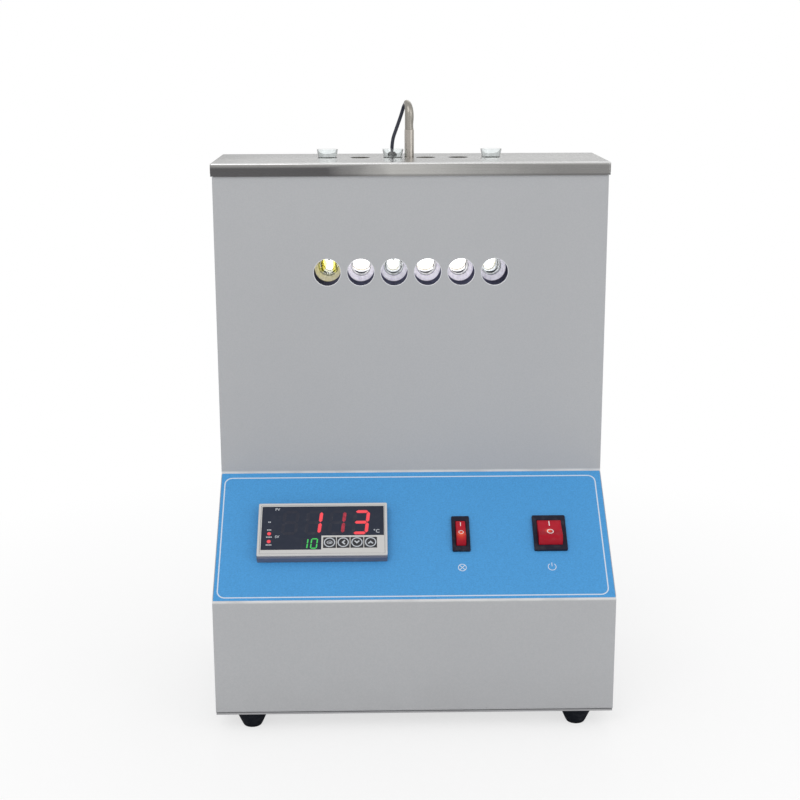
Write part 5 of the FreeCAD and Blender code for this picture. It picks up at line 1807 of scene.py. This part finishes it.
@dataclass
class Back:
    """The rear panel's screws, the mains inlet and its drawer."""

    screw_x: float = 140.3
    screw_rows: tuple[float, ...] = (29.0, 203.0, 385.0)
    inlet_x: float = -88.0
    inlet_z: float = 60.0
    inlet_spread: float = 40.0
    inlet_face: float = BACK_Y + 2.2
    head_radius: float = 2.9
    head_height: float = 1.8

    def screw(self) -> Piece:
        """Makes one pan head with a cross recess, its seat at the origin and its top towards +Y.

        Returns:
            The object that is copied.
        """
        radius, height = self.head_radius, self.head_height
        outline = [(0.0, 0.0), (radius, 0.0), (radius, height * 0.45), (radius * 0.93, height * 0.72),
                   (radius * 0.7, height * 0.93), (radius * 0.35, height), (0.0, height)]
        spun = Matrix.Rotation(math.radians(-90), 4, "X")
        head = added("head", Shape().lathe(outline, 40, spun).mesh("head", ROOM, 30.0))
        cross = Shape()
        for turn in (0.0, 90.0):
            at = spun @ Matrix.Rotation(math.radians(turn), 4, "Z")
            wide, narrow, half_slot = radius * 0.62, radius * 0.3, 0.36
            square = ((-1, -1), (1, -1), (1, 1), (-1, 1))
            rows = [[at @ Vector((x * reach, y * half_slot, level)) for x, y in square]
                    for reach, level in ((narrow, height * 0.25), (wide, height * 1.2))]
            cross.rows(rows)
        tool = added("tool", cross.mesh("tool", ROOM))
        cut = head.modifiers.new("cut", "BOOLEAN")
        cut.operation = "DIFFERENCE"
        cut.object = tool
        cut.use_self = True
        graph = bpy.context.evaluated_depsgraph_get()
        mesh = bpy.data.meshes.new_from_object(head.evaluated_get(graph), depsgraph=graph)
        for item in (head, tool):
            bpy.data.objects.remove(item)
        mesh.shade_smooth()
        mesh.set_sharp_from_angle(angle=math.radians(30))
        return added("screw_form", mesh)

    def build(self, shop: Workshop) -> None:
        """Sets the screws and softens the inlet.

        Args:
            shop: the workshop.
        """
        spots = [Vector((side * self.screw_x, BACK_Y, row)) for side in (-1, 1) for row in self.screw_rows]
        inlet_spots = [Vector((self.inlet_x + side * self.inlet_spread / 2, self.inlet_face, self.inlet_z))
                       for side in (-1, 1)]
        form = self.screw()
        finish = SLOT_FINISHES["screw_steel"]
        tree = Copies.spot_tree()
        for name, group, seed in (("rear_screws", spots, 4), ("inlet_screws", inlet_spots, 9)):
            points = bpy.data.meshes.new(name)
            points.from_pydata([ROOM @ spot for spot in group], [], [])
            values = {"Form": form, "Axis": (0.0, 1.0, 0.0), "Seed": seed, "Material": shop.material(finish)}
            piece = shop.place(Copies.run(points, tree, values), name, "cabinet", finish)
            if name == "rear_screws":
                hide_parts("rear_panel_screws")
        bpy.data.objects.remove(form)
        shop.smooth("power_inlet", bevel=0.35)
        shop.smooth("fuse_drawer", bevel=0.2)
        shop.smooth("inlet_pins", bevel=0.3)


@dataclass
class Studio:
    """The floor, the lamps and the room's light."""

    floor_half: float = 3.0
    room_level: float = 0.72
    key_power: float = 13.5
    fill_power: float = 6.0
    near_white: float = 0.68
    near: float = 0.22
    far: float = 0.6
    floor_level: float = 0.98

    def build(self) -> None:
        """Lays the floor and hangs the lamps."""
        self.floor()
        self.room()
        self.lamp("key", (-0.9, -1.9, 1.9), (0.0, 0.0, 0.25), 1.6, self.key_power)
        self.lamp("fill", (1.6, -1.4, 0.9), (0.0, 0.0, 0.2), 1.4, self.fill_power)
        self.lamp("back", (0.3, 1.8, 1.6), (0.0, 0.0, 0.3), 1.4, self.fill_power)

    def floor(self) -> None:
        """Lays a plain floor, white to the camera, that keeps the object's shadow."""
        half = self.floor_half
        mesh = bpy.data.meshes.new("floor")
        corners = [(-half, -half, 0), (half, -half, 0), (half, half, 0), (-half, half, 0)]
        mesh.from_pydata(corners, [], [(0, 1, 2, 3)])
        material = bpy.data.materials.new("floor")
        material.use_nodes = True
        nodes = Nodes(material.node_tree)
        place = nodes.place()
        high, low = self.floor_level, self.floor_level - 0.02
        pale = nodes.mix(nodes.noise(place, 3.0), (low, low, low, 1.0), (high, high, high, 1.0))
        dull = {"Base Color": pale, "Roughness": 0.9, "Specular IOR Level": 0.0}
        shader = nodes.add("ShaderNodeBsdfPrincipled", dull)
        white = nodes.add("ShaderNodeEmission", {"Color": WHITE, "Strength": 1.0})
        away = nodes.vector("LENGTH", place)
        share = nodes.span(away, (self.near, self.far), (self.near_white, 1.0))
        seen = nodes.times(share, nodes.add("ShaderNodeLightPath").outputs["Is Camera Ray"])
        mixed = nodes.add("ShaderNodeMixShader", {0: seen, 1: shader.outputs[0], 2: white.outputs[0]})
        nodes.add("ShaderNodeOutputMaterial", {0: mixed.outputs[0]})
        mesh.materials.append(material)
        added("floor", mesh)

    def room(self) -> None:
        """Lights the room evenly and shows a white background to the camera and to glass."""
        world = bpy.data.worlds.new("room")
        bpy.context.scene.world = world
        world.use_nodes = True
        nodes = Nodes(world.node_tree)
        path = nodes.add("ShaderNodeLightPath")
        seen = nodes.maths("MAXIMUM", path.outputs["Is Camera Ray"], path.outputs["Is Transmission Ray"])
        soft = nodes.add("ShaderNodeBackground", {"Color": WHITE, "Strength": self.room_level})
        white = nodes.add("ShaderNodeBackground", {"Color": WHITE, "Strength": 1.0})
        mixed = nodes.add("ShaderNodeMixShader", {0: seen, 1: soft.outputs[0], 2: white.outputs[0]})
        nodes.add("ShaderNodeOutputWorld", {0: mixed.outputs[0]})

    @staticmethod
    def lamp(name: str, place: Spot, aim: Spot, size: float, power: float) -> None:
        """Hangs one square soft lamp.

        Args:
            name: its name.
            place: where it hangs, in metres.
            aim: where it points.
            size: its side, in metres.
            power: its power in watts.
        """
        data = bpy.data.lights.new(name, "AREA")
        data.shape = "SQUARE"
        data.size = size
        data.energy = power
        lamp = added(name, data)
        lamp.location = place
        lamp.rotation_euler = (Vector(aim) - Vector(place)).to_track_quat("-Z", "Y").to_euler()


def main() -> None:
    """Builds everything in order."""
    logging.basicConfig(level=logging.INFO, format="%(name)s: %(message)s")
    bpy.ops.wm.read_homefile(use_empty=True, use_factory_startup=True)
    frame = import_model()
    scene = bpy.context.scene
    scene.view_settings.view_transform = "Standard"
    Camera().build()
    shop = Workshop(frame)
    Lead().build(shop)
    shop.paint_nodes()
    Cabinet().build(shop)
    ConsolePrint().build(shop)
    PanelMeter().build(shop)
    RockerSwitch("power_switch", "power_rocker", x=102.0, lamp=(100.9, 55.2, 6.0), reach=4.8,
                 base_glow=0.34).build(shop)
    RockerSwitch("light_switch", "light_rocker", x=35.6, lamp=(35.6, 52.2, 6.0), mark_scale=0.78,
                 reach=7.0, half=3.55, base_glow=0.38).build(shop)
    ViewingRow().build(shop)
    Probe().build(shop)
    Back().build(shop)
    Studio().build()


if __name__ == "__main__":
    main()
